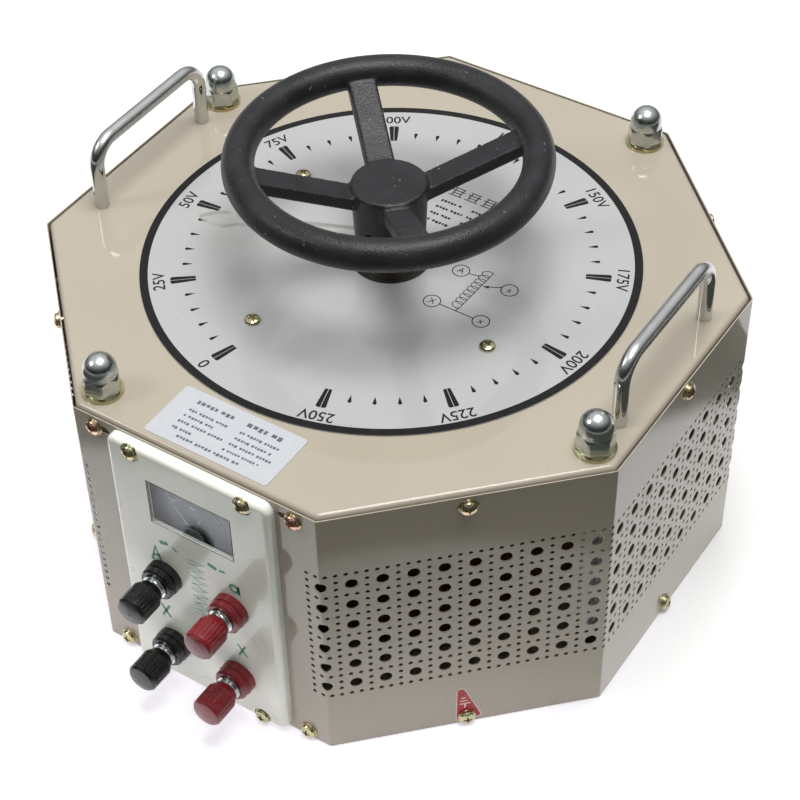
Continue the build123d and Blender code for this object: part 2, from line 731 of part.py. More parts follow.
# ---------------------------------------------------------------- handwheel, pointer, shaft
with BuildPart() as handwheel:
    with Locations((0, 0, RIM_HEIGHT)):
        Torus(RIM_RADIUS, RIM_TUBE)
    turned(
        [
            (0, HUB_LOW),
            (HUB_LOW_RADIUS, HUB_LOW),
            (HUB_TOP_RADIUS, HUB_TOP - HUB_EDGE),
            (HUB_TOP_RADIUS - HUB_EDGE, HUB_TOP),
            (0, HUB_TOP),
        ]
    )
    slope = (SPOKE_RIM_HEIGHT - SPOKE_HUB_HEIGHT) / (SPOKE_RIM_RADIUS - HUB_TOP_RADIUS)
    for number in range(SPOKES):
        turn = math.radians(SPOKE_START + 360 / SPOKES * number)
        radial = Vector(math.cos(turn), math.sin(turn), 0)
        rise = Vector(0, 0, slope)
        drop = slope * (HUB_TOP_RADIUS - SPOKE_INNER_END)
        inner_end = radial * SPOKE_INNER_END + Vector(0, 0, SPOKE_HUB_HEIGHT - drop)
        direction = radial + rise
        across = Vector(-math.sin(turn), math.cos(turn), 0)
        with BuildSketch(Plane(origin=inner_end, x_dir=across, z_dir=direction)) as spoke_section:
            with BuildLine():
                Polyline(
                    (-SPOKE_LOW_HALF, 1.5 - SPOKE_HALF_DEPTH),
                    (-SPOKE_TOP_HALF, SPOKE_HALF_DEPTH),
                    (SPOKE_TOP_HALF, SPOKE_HALF_DEPTH),
                    (SPOKE_LOW_HALF, 1.5 - SPOKE_HALF_DEPTH),
                    (SPOKE_LOW_HALF - 1.3, -SPOKE_HALF_DEPTH),
                    (1.3 - SPOKE_LOW_HALF, -SPOKE_HALF_DEPTH),
                    close=True,
                )
            make_face()
        extrude(amount=(SPOKE_OUTER_END - SPOKE_INNER_END) * direction.length)
    with Locations((0, 0, HUB_LOW)):
        Hole(CLAMPED_BORE, depth=SHAFT_HIGH + 0.2 - HUB_LOW)
    with Locations(Location((0, -HUB_TOP_RADIUS, SET_SCREW_HEIGHT), (90, 0, 0))):
        Hole(SET_SCREW_RADIUS + 0.05, depth=HUB_TOP_RADIUS - 6)
keep(handwheel, "handwheel")

with BuildPart() as wheel_set_screw:
    with BuildSketch(Plane.XZ.offset(SHAFT_RADIUS + 0.1)):
        with Locations((0, SET_SCREW_HEIGHT)):
            Circle(SET_SCREW_RADIUS)
    extrude(amount=SET_SCREW_LENGTH)
    with BuildSketch(Plane.XZ.offset(SHAFT_RADIUS + 0.1 + SET_SCREW_LENGTH)):
        with Locations((0, SET_SCREW_HEIGHT)):
            RegularPolygon(1.7, 6)
    extrude(amount=-3.0, mode=Mode.SUBTRACT)
keep(wheel_set_screw, "wheel_set_screw")

POINTER_LOW = 193.9
POINTER_SHEET = 2.4
with BuildPart() as pointer:
    # clear strip with a disc on the shaft and a leaf-shaped head
    head_curve = (POINTER_HEAD_WIDEST + 9.0, POINTER_HEAD - 2.0)
    with BuildSketch(Plane.XY.offset(POINTER_LOW).rotated((0, 0, POINTER_ANGLE))):
        with BuildLine():
            Polyline(
                (POINTER_HEAD_WIDEST, POINTER_HEAD),
                (POINTER_HEAD_START, POINTER_NECK),
                (0, POINTER_NECK),
                (0, -POINTER_NECK),
                (POINTER_HEAD_START, -POINTER_NECK),
                (POINTER_HEAD_WIDEST, -POINTER_HEAD),
            )
            for half in (1, -1):
                ThreePointArc(
                    (POINTER_HEAD_WIDEST, half * POINTER_HEAD),
                    (head_curve[0], half * head_curve[1]),
                    (POINTER_LENGTH, 0),
                )
        make_face()
        Circle(POINTER_DISC)
        Circle(SHAFT_RADIUS + 0.2, mode=Mode.SUBTRACT)
    extrude(amount=POINTER_SHEET)
keep(pointer, "pointer")

COLLAR_LOW = 177.2
COLLAR_HIGH = 183.4
with BuildPart() as pointer_hub:
    ring(CLAMPED_BORE, 12.0, COLLAR_HIGH + 0.1, POINTER_LOW)
    chamfer(pointer_hub.faces().sort_by(Axis.Z)[0].edges().sort_by(SortBy.LENGTH)[-1], 1.0)
keep(pointer_hub, "pointer_hub")

with BuildPart() as shaft_collar:
    ring(CLAMPED_BORE, 15.0, COLLAR_LOW, COLLAR_HIGH)
    chamfer(shaft_collar.faces().sort_by(Axis.Z)[-1].edges().sort_by(SortBy.LENGTH)[-1], 1.2)
keep(shaft_collar, "shaft_collar")

with BuildPart() as shaft:
    turned([(0, SHAFT_LOW), (SHAFT_RADIUS, SHAFT_LOW), (SHAFT_RADIUS, SHAFT_HIGH), (0, SHAFT_HIGH)])
    chamfer(shaft.edges().filter_by(GeomType.CIRCLE), 0.8)
keep(shaft, "shaft")

with BuildPart() as top_bearing:
    # plastic guide ring under the hole in the cover
    ring(RUNNING_BORE, 27.0, COVER_UNDERSIDE - 3.0, COVER_UNDERSIDE)
    ring(RUNNING_BORE, 13.0, COVER_UNDERSIDE - 7.0, COVER_UNDERSIDE - 3.0)
keep(top_bearing, "top_bearing")

# ---------------------------------------------------------------- transformer and brush gear
with BuildPart() as toroid_core:
    ring(CORE_INNER, CORE_OUTER, CORE_LOW, CORE_HIGH)
    chamfer(toroid_core.edges().filter_by(GeomType.CIRCLE), 2.0)
keep(toroid_core, "toroid_core")


def toroid_skin(grow, wall):
    """Add a closed skin round the core: grown outline minus the outline one wall thinner."""
    ring(CORE_INNER - grow, CORE_OUTER + grow, CORE_LOW - grow, CORE_HIGH + grow)
    inner = grow - wall
    with BuildSketch(Plane.XY.offset(CORE_LOW - inner)) as hollow:
        Circle(CORE_OUTER + inner)
        Circle(CORE_INNER - inner, mode=Mode.SUBTRACT)
    extrude(hollow.sketch, amount=CORE_HIGH - CORE_LOW + 2 * inner, mode=Mode.SUBTRACT)


with BuildPart() as core_insulation:
    toroid_skin(INSULATION, INSULATION)
keep(core_insulation, "core_insulation")

with BuildPart() as winding:
    toroid_skin(INSULATION + WINDING_WALL, WINDING_WALL)
    fillet(winding.faces().sort_by(Axis.Z)[0].edges(), 3.0)
    fillet(winding.faces().sort_by(Axis.Z)[-1].edges(), 3.0)
keep(winding, "winding")

with BuildPart() as lower_clamp_disc:
    ring(20.0, 118.0, BASE_SHEET, WINDING_LOW)
    with Locations((0, 0, WINDING_LOW)):
        with PolarLocations(CLAMP_BOLT_CIRCLE, QUARTERS, start_angle=CLAMP_BOLT_START):
            Hole(4.2, depth=WINDING_LOW - BASE_SHEET)
keep(lower_clamp_disc, "lower_clamp_disc")

TUBE_OUTER = 16.0
BUSH_OUTER = 12.0
BUSH_LENGTH = 14.0
TUBE_LOW = SHAFT_LOW + 6.0
with BuildPart() as upper_clamp_disc:
    ring(TUBE_OUTER + 0.1, 90.0, WINDING_HIGH, WINDING_HIGH + CLAMP_DISC)
    with Locations((0, 0, WINDING_HIGH + CLAMP_DISC)):
        with PolarLocations(CLAMP_BOLT_CIRCLE, QUARTERS, start_angle=CLAMP_BOLT_START):
            Hole(4.2, depth=CLAMP_DISC)
keep(upper_clamp_disc, "upper_clamp_disc")

with BuildPart() as clamp_bolts:
    with BuildSketch(Plane.XY.offset(0.3)):
        with PolarLocations(CLAMP_BOLT_CIRCLE, QUARTERS, start_angle=CLAMP_BOLT_START):
            Circle(3.95)
    extrude(amount=WINDING_HIGH + CLAMP_DISC - 0.3)
    with BuildSketch(Plane.XY.offset(WINDING_HIGH + CLAMP_DISC)):
        with PolarLocations(CLAMP_BOLT_CIRCLE, QUARTERS, start_angle=CLAMP_BOLT_START):
            RegularPolygon(6.5, 6, major_radius=False)
    extrude(amount=5.3)
keep(clamp_bolts, "clamp_bolts")

with BuildPart() as bearing_tube:
    # flanged sleeve on the upper disc, carrying the two shaft bushes
    ring(BUSH_OUTER, TUBE_OUTER, TUBE_LOW, FLANGE_TOP)
    ring(TUBE_OUTER - 1, 34.0, WINDING_HIGH + CLAMP_DISC, FLANGE_TOP)
    with Locations((0, -STOP_CIRCLE, FLANGE_TOP)):
        Hole(4.0, depth=3.0)
keep(bearing_tube, "bearing_tube")

with BuildPart() as shaft_bushes:
    ring(RUNNING_BORE, BUSH_OUTER, TUBE_LOW, TUBE_LOW + BUSH_LENGTH)
    ring(RUNNING_BORE, BUSH_OUTER, FLANGE_TOP - BUSH_LENGTH, FLANGE_TOP)
keep(shaft_bushes, "shaft_bushes")

with BuildPart() as stop_pin:
    with Locations((0, -STOP_CIRCLE, FLANGE_TOP - 3.0)):
        Cylinder(3.98, 11.0, align=(Align.CENTER, Align.CENTER, Align.MIN))
    chamfer(stop_pin.faces().sort_by(Axis.Z)[-1].edges(), 0.6)
keep(stop_pin, "stop_pin")

BRUSH_LONG = 18.0
BRUSH_WIDE = 8.0
BRUSH_LOW = WINDING_HIGH + 0.3
BRUSH_HIGH = BRUSH_LOW + 17.0
HOLDER_LOW = WINDING_HIGH + 4.0
HOLDER_HIGH = BRUSH_HIGH + 14.0
ARM_FRAME = Plane.XY.rotated((0, 0, POINTER_ANGLE))

with BuildPart() as brush_arm:
    # split hub on the shaft, arm, brush box at its end and the stop lug underneath
    ring(CLAMPED_BORE, 15.0, ARM_LOW, ARM_HIGH + 10.0)
    with BuildSketch(ARM_FRAME.offset(ARM_LOW)):
        with Locations((10, 0)):
            Rectangle(BRUSH_CIRCLE, 22.0, align=(Align.MIN, Align.CENTER))
        Circle(10.5, mode=Mode.SUBTRACT)
    extrude(amount=ARM_HIGH - ARM_LOW)
    with BuildSketch(ARM_FRAME.offset(HOLDER_LOW)):
        with Locations((BRUSH_CIRCLE, 0)):
            Rectangle(BRUSH_LONG + 6, BRUSH_WIDE + 8)
    extrude(amount=HOLDER_HIGH - HOLDER_LOW)
    with BuildSketch(ARM_FRAME.offset(HOLDER_LOW)):
        with Locations((BRUSH_CIRCLE, 0)):
            Rectangle(BRUSH_LONG + 0.4, BRUSH_WIDE + 0.4)
    extrude(amount=HOLDER_HIGH - HOLDER_LOW - 2.0, mode=Mode.SUBTRACT)
    with BuildSketch(ARM_FRAME.offset(FLANGE_TOP + 1.0)):
        with Locations((STOP_CIRCLE, 0)):
            Rectangle(10.0, 6.0)
    extrude(amount=ARM_LOW - FLANGE_TOP - 1.0)
keep(brush_arm, "brush_arm")

with BuildPart() as carbon_brush:
    with BuildSketch(ARM_FRAME.offset(BRUSH_LOW)):
        with Locations((BRUSH_CIRCLE, 0)):
            Rectangle(BRUSH_LONG, BRUSH_WIDE)
    extrude(amount=BRUSH_HIGH - BRUSH_LOW)
keep(carbon_brush, "carbon_brush")

SPRING_WIRE = 0.45
SPRING_COIL = 3.0
SPRING_LENGTH = HOLDER_HIGH - 2.0 - BRUSH_HIGH - 2 * SPRING_WIRE
brush_spot = ARM_FRAME.offset(BRUSH_HIGH + SPRING_WIRE).location * Location((BRUSH_CIRCLE, 0, 0))
with BuildPart() as coil_spring:
    with BuildLine() as spring_line:
        Helix(pitch=SPRING_LENGTH / 5, height=SPRING_LENGTH, radius=SPRING_COIL)
    with BuildSketch(Plane(origin=spring_line.edges()[0] @ 0, z_dir=spring_line.edges()[0] % 0)):
        Circle(SPRING_WIRE)
    sweep()

with BuildPart() as brush_spring:
    place(coil_spring, [brush_spot])
keep(brush_spring, "brush_spring")

RING_LOW = ARM_HIGH + 2.0
with BuildPart() as collector_ring:
    ring(15.05, 20.0, RING_LOW, RING_LOW + 6.0)
keep(collector_ring, "collector_ring")

with BuildPart() as contact_finger:
    # brass strip hanging from the guide ring, its tip just above the collector ring
    with BuildSketch(Plane.XZ.offset(-3.0)):
        with BuildLine():
            FilletPolyline(
                (24.0, COVER_UNDERSIDE - 3.4),
                (17.6, COVER_UNDERSIDE - 3.4),
                (17.6, RING_LOW + 6.6),
                (21.0, RING_LOW + 6.6),
                radius=1.0,
            )
        trace(line_width=0.7)
    extrude(amount=6.0)
keep(contact_finger, "contact_finger")

# ---------------------------------------------------------------- leads from posts to winding
LEAD_RADIUS = 2.2
LEAD_START = PANEL_FACE + STUD_INNER
with BuildPart() as internal_leads:
    for post_x, post_z in POST_SPOTS:
        shift = math.copysign(9.0, -post_x)
        lead_end = math.sqrt((CORE_OUTER + INSULATION + WINDING_WALL) ** 2 - (post_x + shift) ** 2) - 1.5
        with BuildLine():
            FilletPolyline(
                (post_x, -LEAD_START, post_z),
                (post_x, -LEAD_START + 11, post_z),
                (post_x + shift, -LEAD_START + 22, post_z + 7),
                (post_x + shift, -lead_end, post_z + 7),
                radius=7.0,
            )
        with BuildSketch(Plane(origin=(post_x, -LEAD_START, post_z), z_dir=(0, 1, 0))):
            Circle(LEAD_RADIUS)
        sweep()
keep(internal_leads, "internal_leads")
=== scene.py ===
"""Looks of a bench variable autotransformer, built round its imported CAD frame. Metres, +Z up."""
import json
import math

import bmesh
import bpy
import numpy as np
from mathutils import Matrix, Vector
from mathutils.geometry import delaunay_2d_cdt


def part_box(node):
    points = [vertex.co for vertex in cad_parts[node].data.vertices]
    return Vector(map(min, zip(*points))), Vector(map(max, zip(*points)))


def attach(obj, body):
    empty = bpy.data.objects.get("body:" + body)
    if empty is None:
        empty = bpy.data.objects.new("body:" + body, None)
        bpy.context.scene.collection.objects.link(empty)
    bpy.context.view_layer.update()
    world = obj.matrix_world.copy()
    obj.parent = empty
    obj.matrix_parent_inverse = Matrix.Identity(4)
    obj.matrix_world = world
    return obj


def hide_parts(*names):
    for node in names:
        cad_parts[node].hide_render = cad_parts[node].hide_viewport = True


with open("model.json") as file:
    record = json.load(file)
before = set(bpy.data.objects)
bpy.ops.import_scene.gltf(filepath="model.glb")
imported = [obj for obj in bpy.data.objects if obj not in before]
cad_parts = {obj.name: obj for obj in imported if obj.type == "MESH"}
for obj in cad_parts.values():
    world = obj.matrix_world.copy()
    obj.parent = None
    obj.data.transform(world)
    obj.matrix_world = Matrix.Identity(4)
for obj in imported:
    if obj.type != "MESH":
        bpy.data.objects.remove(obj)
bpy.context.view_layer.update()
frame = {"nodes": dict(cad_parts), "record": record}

nodes = frame["nodes"]
MM = 0.001
FULL_TURN = 2 * math.pi

# ---------------------------------------------------------------- places taken from the frame
SIDES = 8
SIDE_TURN = FULL_TURN / SIDES
CASE_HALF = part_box("side_wrap")[1].x
WRAP_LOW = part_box("side_wrap")[0].z
WRAP_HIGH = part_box("side_wrap")[1].z
SIDE_LENGTH = 2 * CASE_HALF * math.tan(SIDE_TURN / 2)
DIAL_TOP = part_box("dial_plate")[1].z
PANEL_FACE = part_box("terminal_panel")[0].y
LABEL_LOW, LABEL_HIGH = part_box("rating_label")
METER_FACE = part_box("meter_dial")[0].y
PIVOT_LOW, PIVOT_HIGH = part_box("meter_pivot_cover")
HANDLE_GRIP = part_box("handle_left")[1].z - 0.006


# ---------------------------------------------------------------- materials
class Look:
    """A procedural node material being put together around one Principled shader."""

    def __init__(self, name, colour, roughness, metallic=0.0, **extra):
        self.material = bpy.data.materials.new(name)
        self.material.use_nodes = True
        self.tree = self.material.node_tree
        self.shader = self.tree.nodes["Principled BSDF"]
        self.colour = (*colour, 1.0)
        self.shader.inputs["Base Color"].default_value = self.colour
        self.shader.inputs["Roughness"].default_value = roughness
        self.shader.inputs["Metallic"].default_value = metallic
        for socket, value in extra.items():
            self.shader.inputs[socket.replace("_", " ")].default_value = value
        self.point = self.node("ShaderNodeTexCoord").outputs["Object"]
        self.relief = None

    def node(self, kind, **settings):
        """A new node with its settings."""
        made = self.tree.nodes.new(kind)
        for key, value in settings.items():
            setattr(made, key, value)
        return made

    def feed(self, made, **sockets):
        """Fill sockets, by name or as i0, i1 and so on, from values or from other nodes' outputs."""
        for name, value in sockets.items():
            by_index = name[0] == "i" and name[1:].isdigit()
            socket = made.inputs[int(name[1:]) if by_index else name]
            if isinstance(value, bpy.types.NodeSocket):
                self.tree.links.new(value, socket)
            else:
                socket.default_value = value
        return made

    def stretched(self, x=1.0, y=1.0, z=1.0):
        """The object-space point scaled along each axis."""
        mapping = self.node("ShaderNodeMapping")
        self.feed(mapping, Vector=self.point, Scale=(x, y, z))
        return mapping.outputs["Vector"]

    def noise(self, size, detail=3.0, point=None, rough=0.55):
        """Fractal noise with features of the given size in metres."""
        made = self.node("ShaderNodeTexNoise")
        self.feed(made, Vector=point or self.point, Scale=1.0 / size, Detail=detail, Roughness=rough)
        return made.outputs["Fac"]

    def sum(self, operation, first, second=0.5):
        """One Math node."""
        made = self.node("ShaderNodeMath", operation=operation)
        self.feed(made, i0=first, i1=second)
        return made.outputs[0]

    def spread(self, source, low, high, to_low=0.0, to_high=1.0):
        """Smoothly remap a value from one range to another."""
        made = self.node("ShaderNodeMapRange", interpolation_type="SMOOTHSTEP")
        self.feed(made, Value=source, i1=low, i2=high, i3=to_low, i4=to_high)
        return made.outputs[0]

    def mixed(self, share, first, second):
        """Blend two colours by a share."""
        made = self.node("ShaderNodeMix", data_type="RGBA")
        for index, value in ((0, share), (6, first), (7, second)):
            if isinstance(value, bpy.types.NodeSocket):
                self.tree.links.new(value, made.inputs[index])
            else:
                made.inputs[index].default_value = value
        return made.outputs[2]

    def shade(self, factor):
        """The base colour made lighter or darker."""
        return tuple(min(1.0, c * factor) for c in self.colour[:3]) + (1.0,)

    def paint(self, colour):
        """Use a colour output as the base colour, and as the start of the next blend."""
        self.feed(self.shader, **{"Base Color": colour})
        self.shown = colour

    def mottle(self, size, amount, detail=4.0):
        """Vary the base colour by plus and minus the amount."""
        share = self.spread(self.noise(size, detail), 0.3, 0.7)
        self.paint(self.mixed(share, self.shade(1 - amount), self.shade(1 + amount)))

    def patches(self, share, colour):
        """Blend another colour over what is shown so far."""
        self.paint(self.mixed(share, self.shown, (*colour, 1.0)))

    def gloss(self, size, low, high):
        """Vary the roughness between two values."""
        value = self.spread(self.noise(size, 4.0), 0.3, 0.7, low, high)
        self.feed(self.shader, Roughness=value)

    def bump(self, height, depth):
        """Add relief of the given depth in metres over any relief there is."""
        made = self.node("ShaderNodeBump")
        self.feed(made, Height=height, Distance=depth, Strength=1.0)
        if self.relief:
            self.feed(made, Normal=self.relief)
        self.relief = made.outputs["Normal"]
        self.feed(self.shader, Normal=self.relief)


def enamel():
    """Gloss stoving enamel: faint orange peel and a few dust specks under a mirror-like skin."""
    look = Look(
        "enamel_beige", (0.40, 0.355, 0.285), 0.34,
        Specular_IOR_Level=0.1, Coat_Weight=1.0, Coat_Roughness=0.035, Coat_IOR=1.42,
    )
    look.mottle(0.09, 0.018, 1.0)
    specks = look.spread(look.noise(0.0016, 0.0), 0.83, 0.87)
    look.patches(look.sum("MULTIPLY", specks, 0.5), (0.20, 0.16, 0.12))
    look.gloss(0.08, 0.31, 0.37)
    look.bump(look.noise(0.006, 1.0), 0.00002)
    return look.material


def inner_steel():
    """Semi-gloss paint of the base pan."""
    look = Look("base_steel", (0.40, 0.33, 0.26), 0.42)
    look.mottle(0.03, 0.06)
    look.gloss(0.02, 0.34, 0.5)
    look.bump(look.noise(0.0012, 3.0), 0.00003)
    return look.material


def yellow_zinc(name, colour, tint, share):
    """Passivated zinc plating whose tint drifts from piece to piece."""
    look = Look(name, colour, 0.2, metallic=1.0)
    look.mottle(0.005, 0.12, 1.0)
    drift = look.spread(look.noise(0.03, 1.0), 0.48 - share, 0.64 - share)
    look.patches(drift, tint)
    oil = look.spread(look.noise(0.004, 1.0), 0.52, 0.70)
    look.patches(look.sum("MULTIPLY", oil, 0.3), (0.34, 0.46, 0.30))
    look.gloss(0.003, 0.14, 0.28)
    return look.material


def plain_metal(name, colour, roughness, grain=0.0006, tarnish=(0.30, 0.27, 0.22), wear=0.18):
    """Bare or plated metal with a drifting roughness, fine grain and a little tarnish."""
    look = Look(name, colour, roughness, metallic=1.0)
    look.mottle(0.006, 0.05)
    look.patches(look.sum("MULTIPLY", look.spread(look.noise(0.009), 0.55, 0.75), wear), tarnish)
    look.gloss(0.003, 0.7 * roughness, 1.4 * roughness)
    look.bump(look.noise(grain, 3.0), 0.000015)
    return look.material


def chromed_wire():
    """Chromed handle wire, rubbed satin along the grip."""
    look = Look("chrome", (0.60, 0.615, 0.61), 0.2, metallic=1.0)
    look.mottle(0.012, 0.05, 1.0)
    hairs = look.noise(0.0012, 2.0, look.stretched(1.0, 0.12, 1.0))
    height = look.node("ShaderNodeSeparateXYZ")
    look.feed(height, Vector=look.point)
    grip = look.spread(height.outputs["Z"], HANDLE_GRIP - 0.012, HANDLE_GRIP, 0.05, 0.21)
    look.feed(look.shader, Roughness=look.sum("ADD", grip, look.spread(hairs, 0.3, 0.8, 0.0, 0.08)))
    look.bump(look.noise(0.008, 1.0), 0.00006)
    return look.material


def bright_zinc():
    """Satin bright zinc of the cap nuts."""
    look = Look("zinc_bright", (0.55, 0.58, 0.57), 0.2, metallic=1.0)
    look.mottle(0.004, 0.08, 1.0)
    haze = look.spread(look.noise(0.003, 2.0), 0.45, 0.7)
    look.patches(look.sum("MULTIPLY", haze, 0.25), (0.36, 0.41, 0.39))
    look.gloss(0.003, 0.17, 0.27)
    look.bump(look.noise(0.002, 1.0), 0.00002)
    return look.material


def dial_sheet():
    """Printed aluminium sheet under clear lacquer."""
    look = Look("dial_white", (0.40, 0.405, 0.40), 0.36, Coat_Weight=0.8, Coat_Roughness=0.09)
    look.mottle(0.09, 0.015, 1.0)
    specks = look.spread(look.noise(0.0016, 0.0), 0.84, 0.87)
    look.patches(look.sum("MULTIPLY", specks, 0.4), (0.15, 0.15, 0.15))
    look.gloss(0.05, 0.32, 0.40)
    look.bump(look.noise(0.02, 1.0), 0.00005)
    return look.material


def ink(name, colour, roughness=0.38):
    """Screen-printed ink, a little uneven."""
    look = Look(name, colour, roughness, Specular_IOR_Level=0.15)
    look.mottle(0.004, 0.12)
    look.gloss(0.003, roughness * 0.8, roughness * 1.2)
    look.bump(look.noise(0.0006, 2.0), 0.00001)
    return look.material


def marker_ink():
    """Felt-pen green, thin where the pen skipped."""
    look = Look("marker_green", (0.06, 0.32, 0.20), 0.45)
    look.mottle(0.003, 0.2)
    look.patches(look.spread(look.noise(0.0016, 3.0), 0.50, 0.66, 0.0, 0.8), (0.30, 0.42, 0.33))
    look.bump(look.noise(0.0008, 2.0), 0.00001)
    return look.material


def label_paper():
    """Bluish-white label paper with a soft fibre."""
    look = Look("label_paper", (0.465, 0.48, 0.505), 0.5)
    look.mottle(0.004, 0.02)
    look.bump(look.noise(0.0004, 3.0), 0.00002)
    look.gloss(0.01, 0.42, 0.6)
    return look.material


def moulded(name, colour, roughness, coat=0.0, depth=0.00002, grain=0.0007, mottling=0.08):
    """Moulded plastic with flow marks and fine grain."""
    look = Look(name, colour, roughness, Coat_Weight=coat, Coat_Roughness=0.12)
    look.mottle(0.008, mottling)
    look.gloss(0.005, 0.75 * roughness, 1.3 * roughness)
    look.bump(look.noise(grain, 3.0), depth)
    return look.material


def panel_plastic():
    """Glossy ivory moulding with faint smudges."""
    look = Look(
        "panel_plastic", (0.84, 0.845, 0.76), 0.3,
        Coat_Weight=0.5, Coat_Roughness=0.05, Subsurface_Weight=0.2, Subsurface_Scale=0.004,
    )
    look.mottle(0.05, 0.03, 1.0)
    smudge = look.spread(look.noise(0.03, 2.0), 0.5, 0.8)
    look.patches(look.sum("MULTIPLY", smudge, 0.2), (0.68, 0.69, 0.60))
    look.gloss(0.03, 0.26, 0.38)
    look.bump(look.noise(0.012, 1.0), 0.00004)
    return look.material


def wheel_plastic():
    """Black phenolic with a fine pebble that glitters where it catches the light."""
    look = Look("wheel_black", (0.018, 0.018, 0.0205), 0.38, Specular_IOR_Level=0.3)
    look.mottle(0.02, 0.2, 1.0)
    grain = look.noise(0.0011, 2.0)
    flecks = look.spread(look.noise(0.0024, 0.0), 0.82, 0.86)
    look.patches(look.sum("MULTIPLY", flecks, 0.5), (0.20, 0.20, 0.21))
    look.gloss(0.02, 0.32, 0.44)
    look.bump(grain, 0.00026)
    look.bump(look.noise(0.005, 1.0), 0.00012)
    return look.material


def clear_sheet(name, tint, edge, edge_share, index=1.32):
    """Thin clear plastic: see-through faces with a surface mirror, and milky cut edges."""
    look = Look(name, tint, 0.06, Coat_Weight=0.0)
    look.mottle(0.01, 0.03)
    look.gloss(0.004, 0.03, 0.10)
    look.bump(look.noise(0.003, 2.0), 0.00001)
    tree = look.tree
    through = look.node("ShaderNodeBsdfTransparent")
    through.inputs["Color"].default_value = (*tint, 1.0)
    surface = look.node("ShaderNodeNewGeometry")
    split = look.node("ShaderNodeSeparateXYZ")
    look.feed(split, Vector=surface.outputs["Normal"])
    axis = split.outputs["Z" if edge == "upright" else "Y"]
    flat = look.spread(look.sum("ABSOLUTE", axis), 0.5, 0.9)
    mirror = look.node("ShaderNodeFresnel")
    look.feed(mirror, IOR=index)
    # only the outer skin mirrors: inside a thin sheet the Fresnel share would run to a total reflection
    skin = look.sum("MULTIPLY", mirror.outputs[0], look.sum("SUBTRACT", 1.0, surface.outputs["Backfacing"]))
    cut = look.sum("MULTIPLY", look.sum("SUBTRACT", 1.0, flat), edge_share)
    share = look.sum("ADD", look.sum("MULTIPLY", flat, skin), cut)
    look.feed(look.shader, Metallic=flat)
    blend = look.node("ShaderNodeMixShader")
    look.feed(blend, i0=share)
    tree.links.new(through.outputs[0], blend.inputs[1])
    tree.links.new(look.shader.outputs[0], blend.inputs[2])
    output = next(n for n in tree.nodes if n.type == "OUTPUT_MATERIAL")
    tree.links.new(blend.outputs[0], output.inputs["Surface"])
    return look.material


def wound_copper():
    """Enamelled winding: fine turns running radially over the ring."""
    look = Look("copper_winding", (0.42, 0.17, 0.07), 0.3, metallic=0.8, Coat_Weight=0.5)
    look.mottle(0.01, 0.12)
    split = look.node("ShaderNodeSeparateXYZ")
    look.feed(split, Vector=look.point)
    angle = look.sum("ARCTAN2", split.outputs["Y"], split.outputs["X"])
    turns = look.sum("SINE", look.sum("MULTIPLY", angle, 320.0))
    look.patches(look.spread(turns, -1.0, -0.3, 0.7, 0.0), (0.06, 0.02, 0.01))
    look.bump(turns, 0.0004)
    return look.material


def laminated():
    """Strip-wound core steel with its edges showing."""
    look = Look("core_steel", (0.24, 0.24, 0.25), 0.4, metallic=1.0)
    look.mottle(0.01, 0.1)
    look.bump(look.noise(0.0006, 2.0, look.stretched(1.0, 1.0, 8.0)), 0.0001)
    return look.material


MATERIALS = {
    "enamel_beige": enamel(),
    "base_steel": inner_steel(),
    "zinc_yellow": yellow_zinc("zinc_yellow", (0.50, 0.46, 0.29), (0.54, 0.44, 0.24), 0.0),
    "steel_bright": plain_metal("steel_bright", (0.45, 0.45, 0.46), 0.28),
    "chrome": chromed_wire(),
    "zinc_bright": bright_zinc(),
    "dial_white": dial_sheet(),
    "label_paper": label_paper(),
    "tag_red": moulded("tag_red", (0.42, 0.012, 0.018), 0.45, depth=0.00001),
    "panel_plastic": panel_plastic(),
    "meter_clear": clear_sheet("meter_clear", (0.97, 0.98, 0.98), "facing", 0.35),
    "black_plastic": moulded("black_plastic", (0.02, 0.02, 0.02), 0.42),
    "meter_face": moulded("meter_face", (0.46, 0.475, 0.52), 0.45, depth=0.00001, mottling=0.03),
    "needle_dark": moulded("needle_light", (0.90, 0.91, 0.95), 0.35, depth=0.00001),
    "post_black": moulded("post_black", (0.005, 0.005, 0.006), 0.28, coat=0.05, mottling=0.1),
    "post_red": moulded("post_red", (0.20, 0.012, 0.018), 0.30, coat=0.15, mottling=0.1),
    "wheel_black": wheel_plastic(),
    "pointer_clear": clear_sheet("pointer_clear", (0.985, 0.985, 0.965), "upright", 0.6, 1.18),
    "bronze": plain_metal("bronze", (0.56, 0.50, 0.42), 0.32),
    "brass": plain_metal("brass", (0.62, 0.45, 0.18), 0.3),
    "core_steel": laminated(),
    "copper_winding": wound_copper(),
    "insulation": moulded("insulation", (0.16, 0.07, 0.03), 0.5, mottling=0.2),
    "cast_alloy": plain_metal("cast_alloy", (0.42, 0.43, 0.44), 0.45, grain=0.0012),
    "carbon": moulded("carbon", (0.02, 0.02, 0.02), 0.5, depth=0.00005),
    "spring_steel": plain_metal("spring_steel", (0.38, 0.38, 0.40), 0.25),
    "lead_rubber": moulded("lead_rubber", (0.03, 0.03, 0.03), 0.55),
}
COPPER_TINTED = yellow_zinc("zinc_copper_tint", (0.58, 0.53, 0.31), (0.60, 0.38, 0.29), 0.08)
INK_BLACK = ink("dial_ink", (0.012, 0.012, 0.013))
INK_GREY = ink("label_ink", (0.12, 0.125, 0.15), 0.5)
INK_WHITE = ink("tag_ink", (0.68, 0.56, 0.55), 0.4)
INK_PALE = ink("meter_ink", (0.90, 0.91, 0.95), 0.4)
MARKER = marker_ink()

for entry in frame["record"]["subparts"]:
    nodes[entry["node"]].data.materials.clear()
    nodes[entry["node"]].data.materials.append(MATERIALS[entry["material_slot"]])
nodes["cover_side_screws"].data.materials[0] = COPPER_TINTED


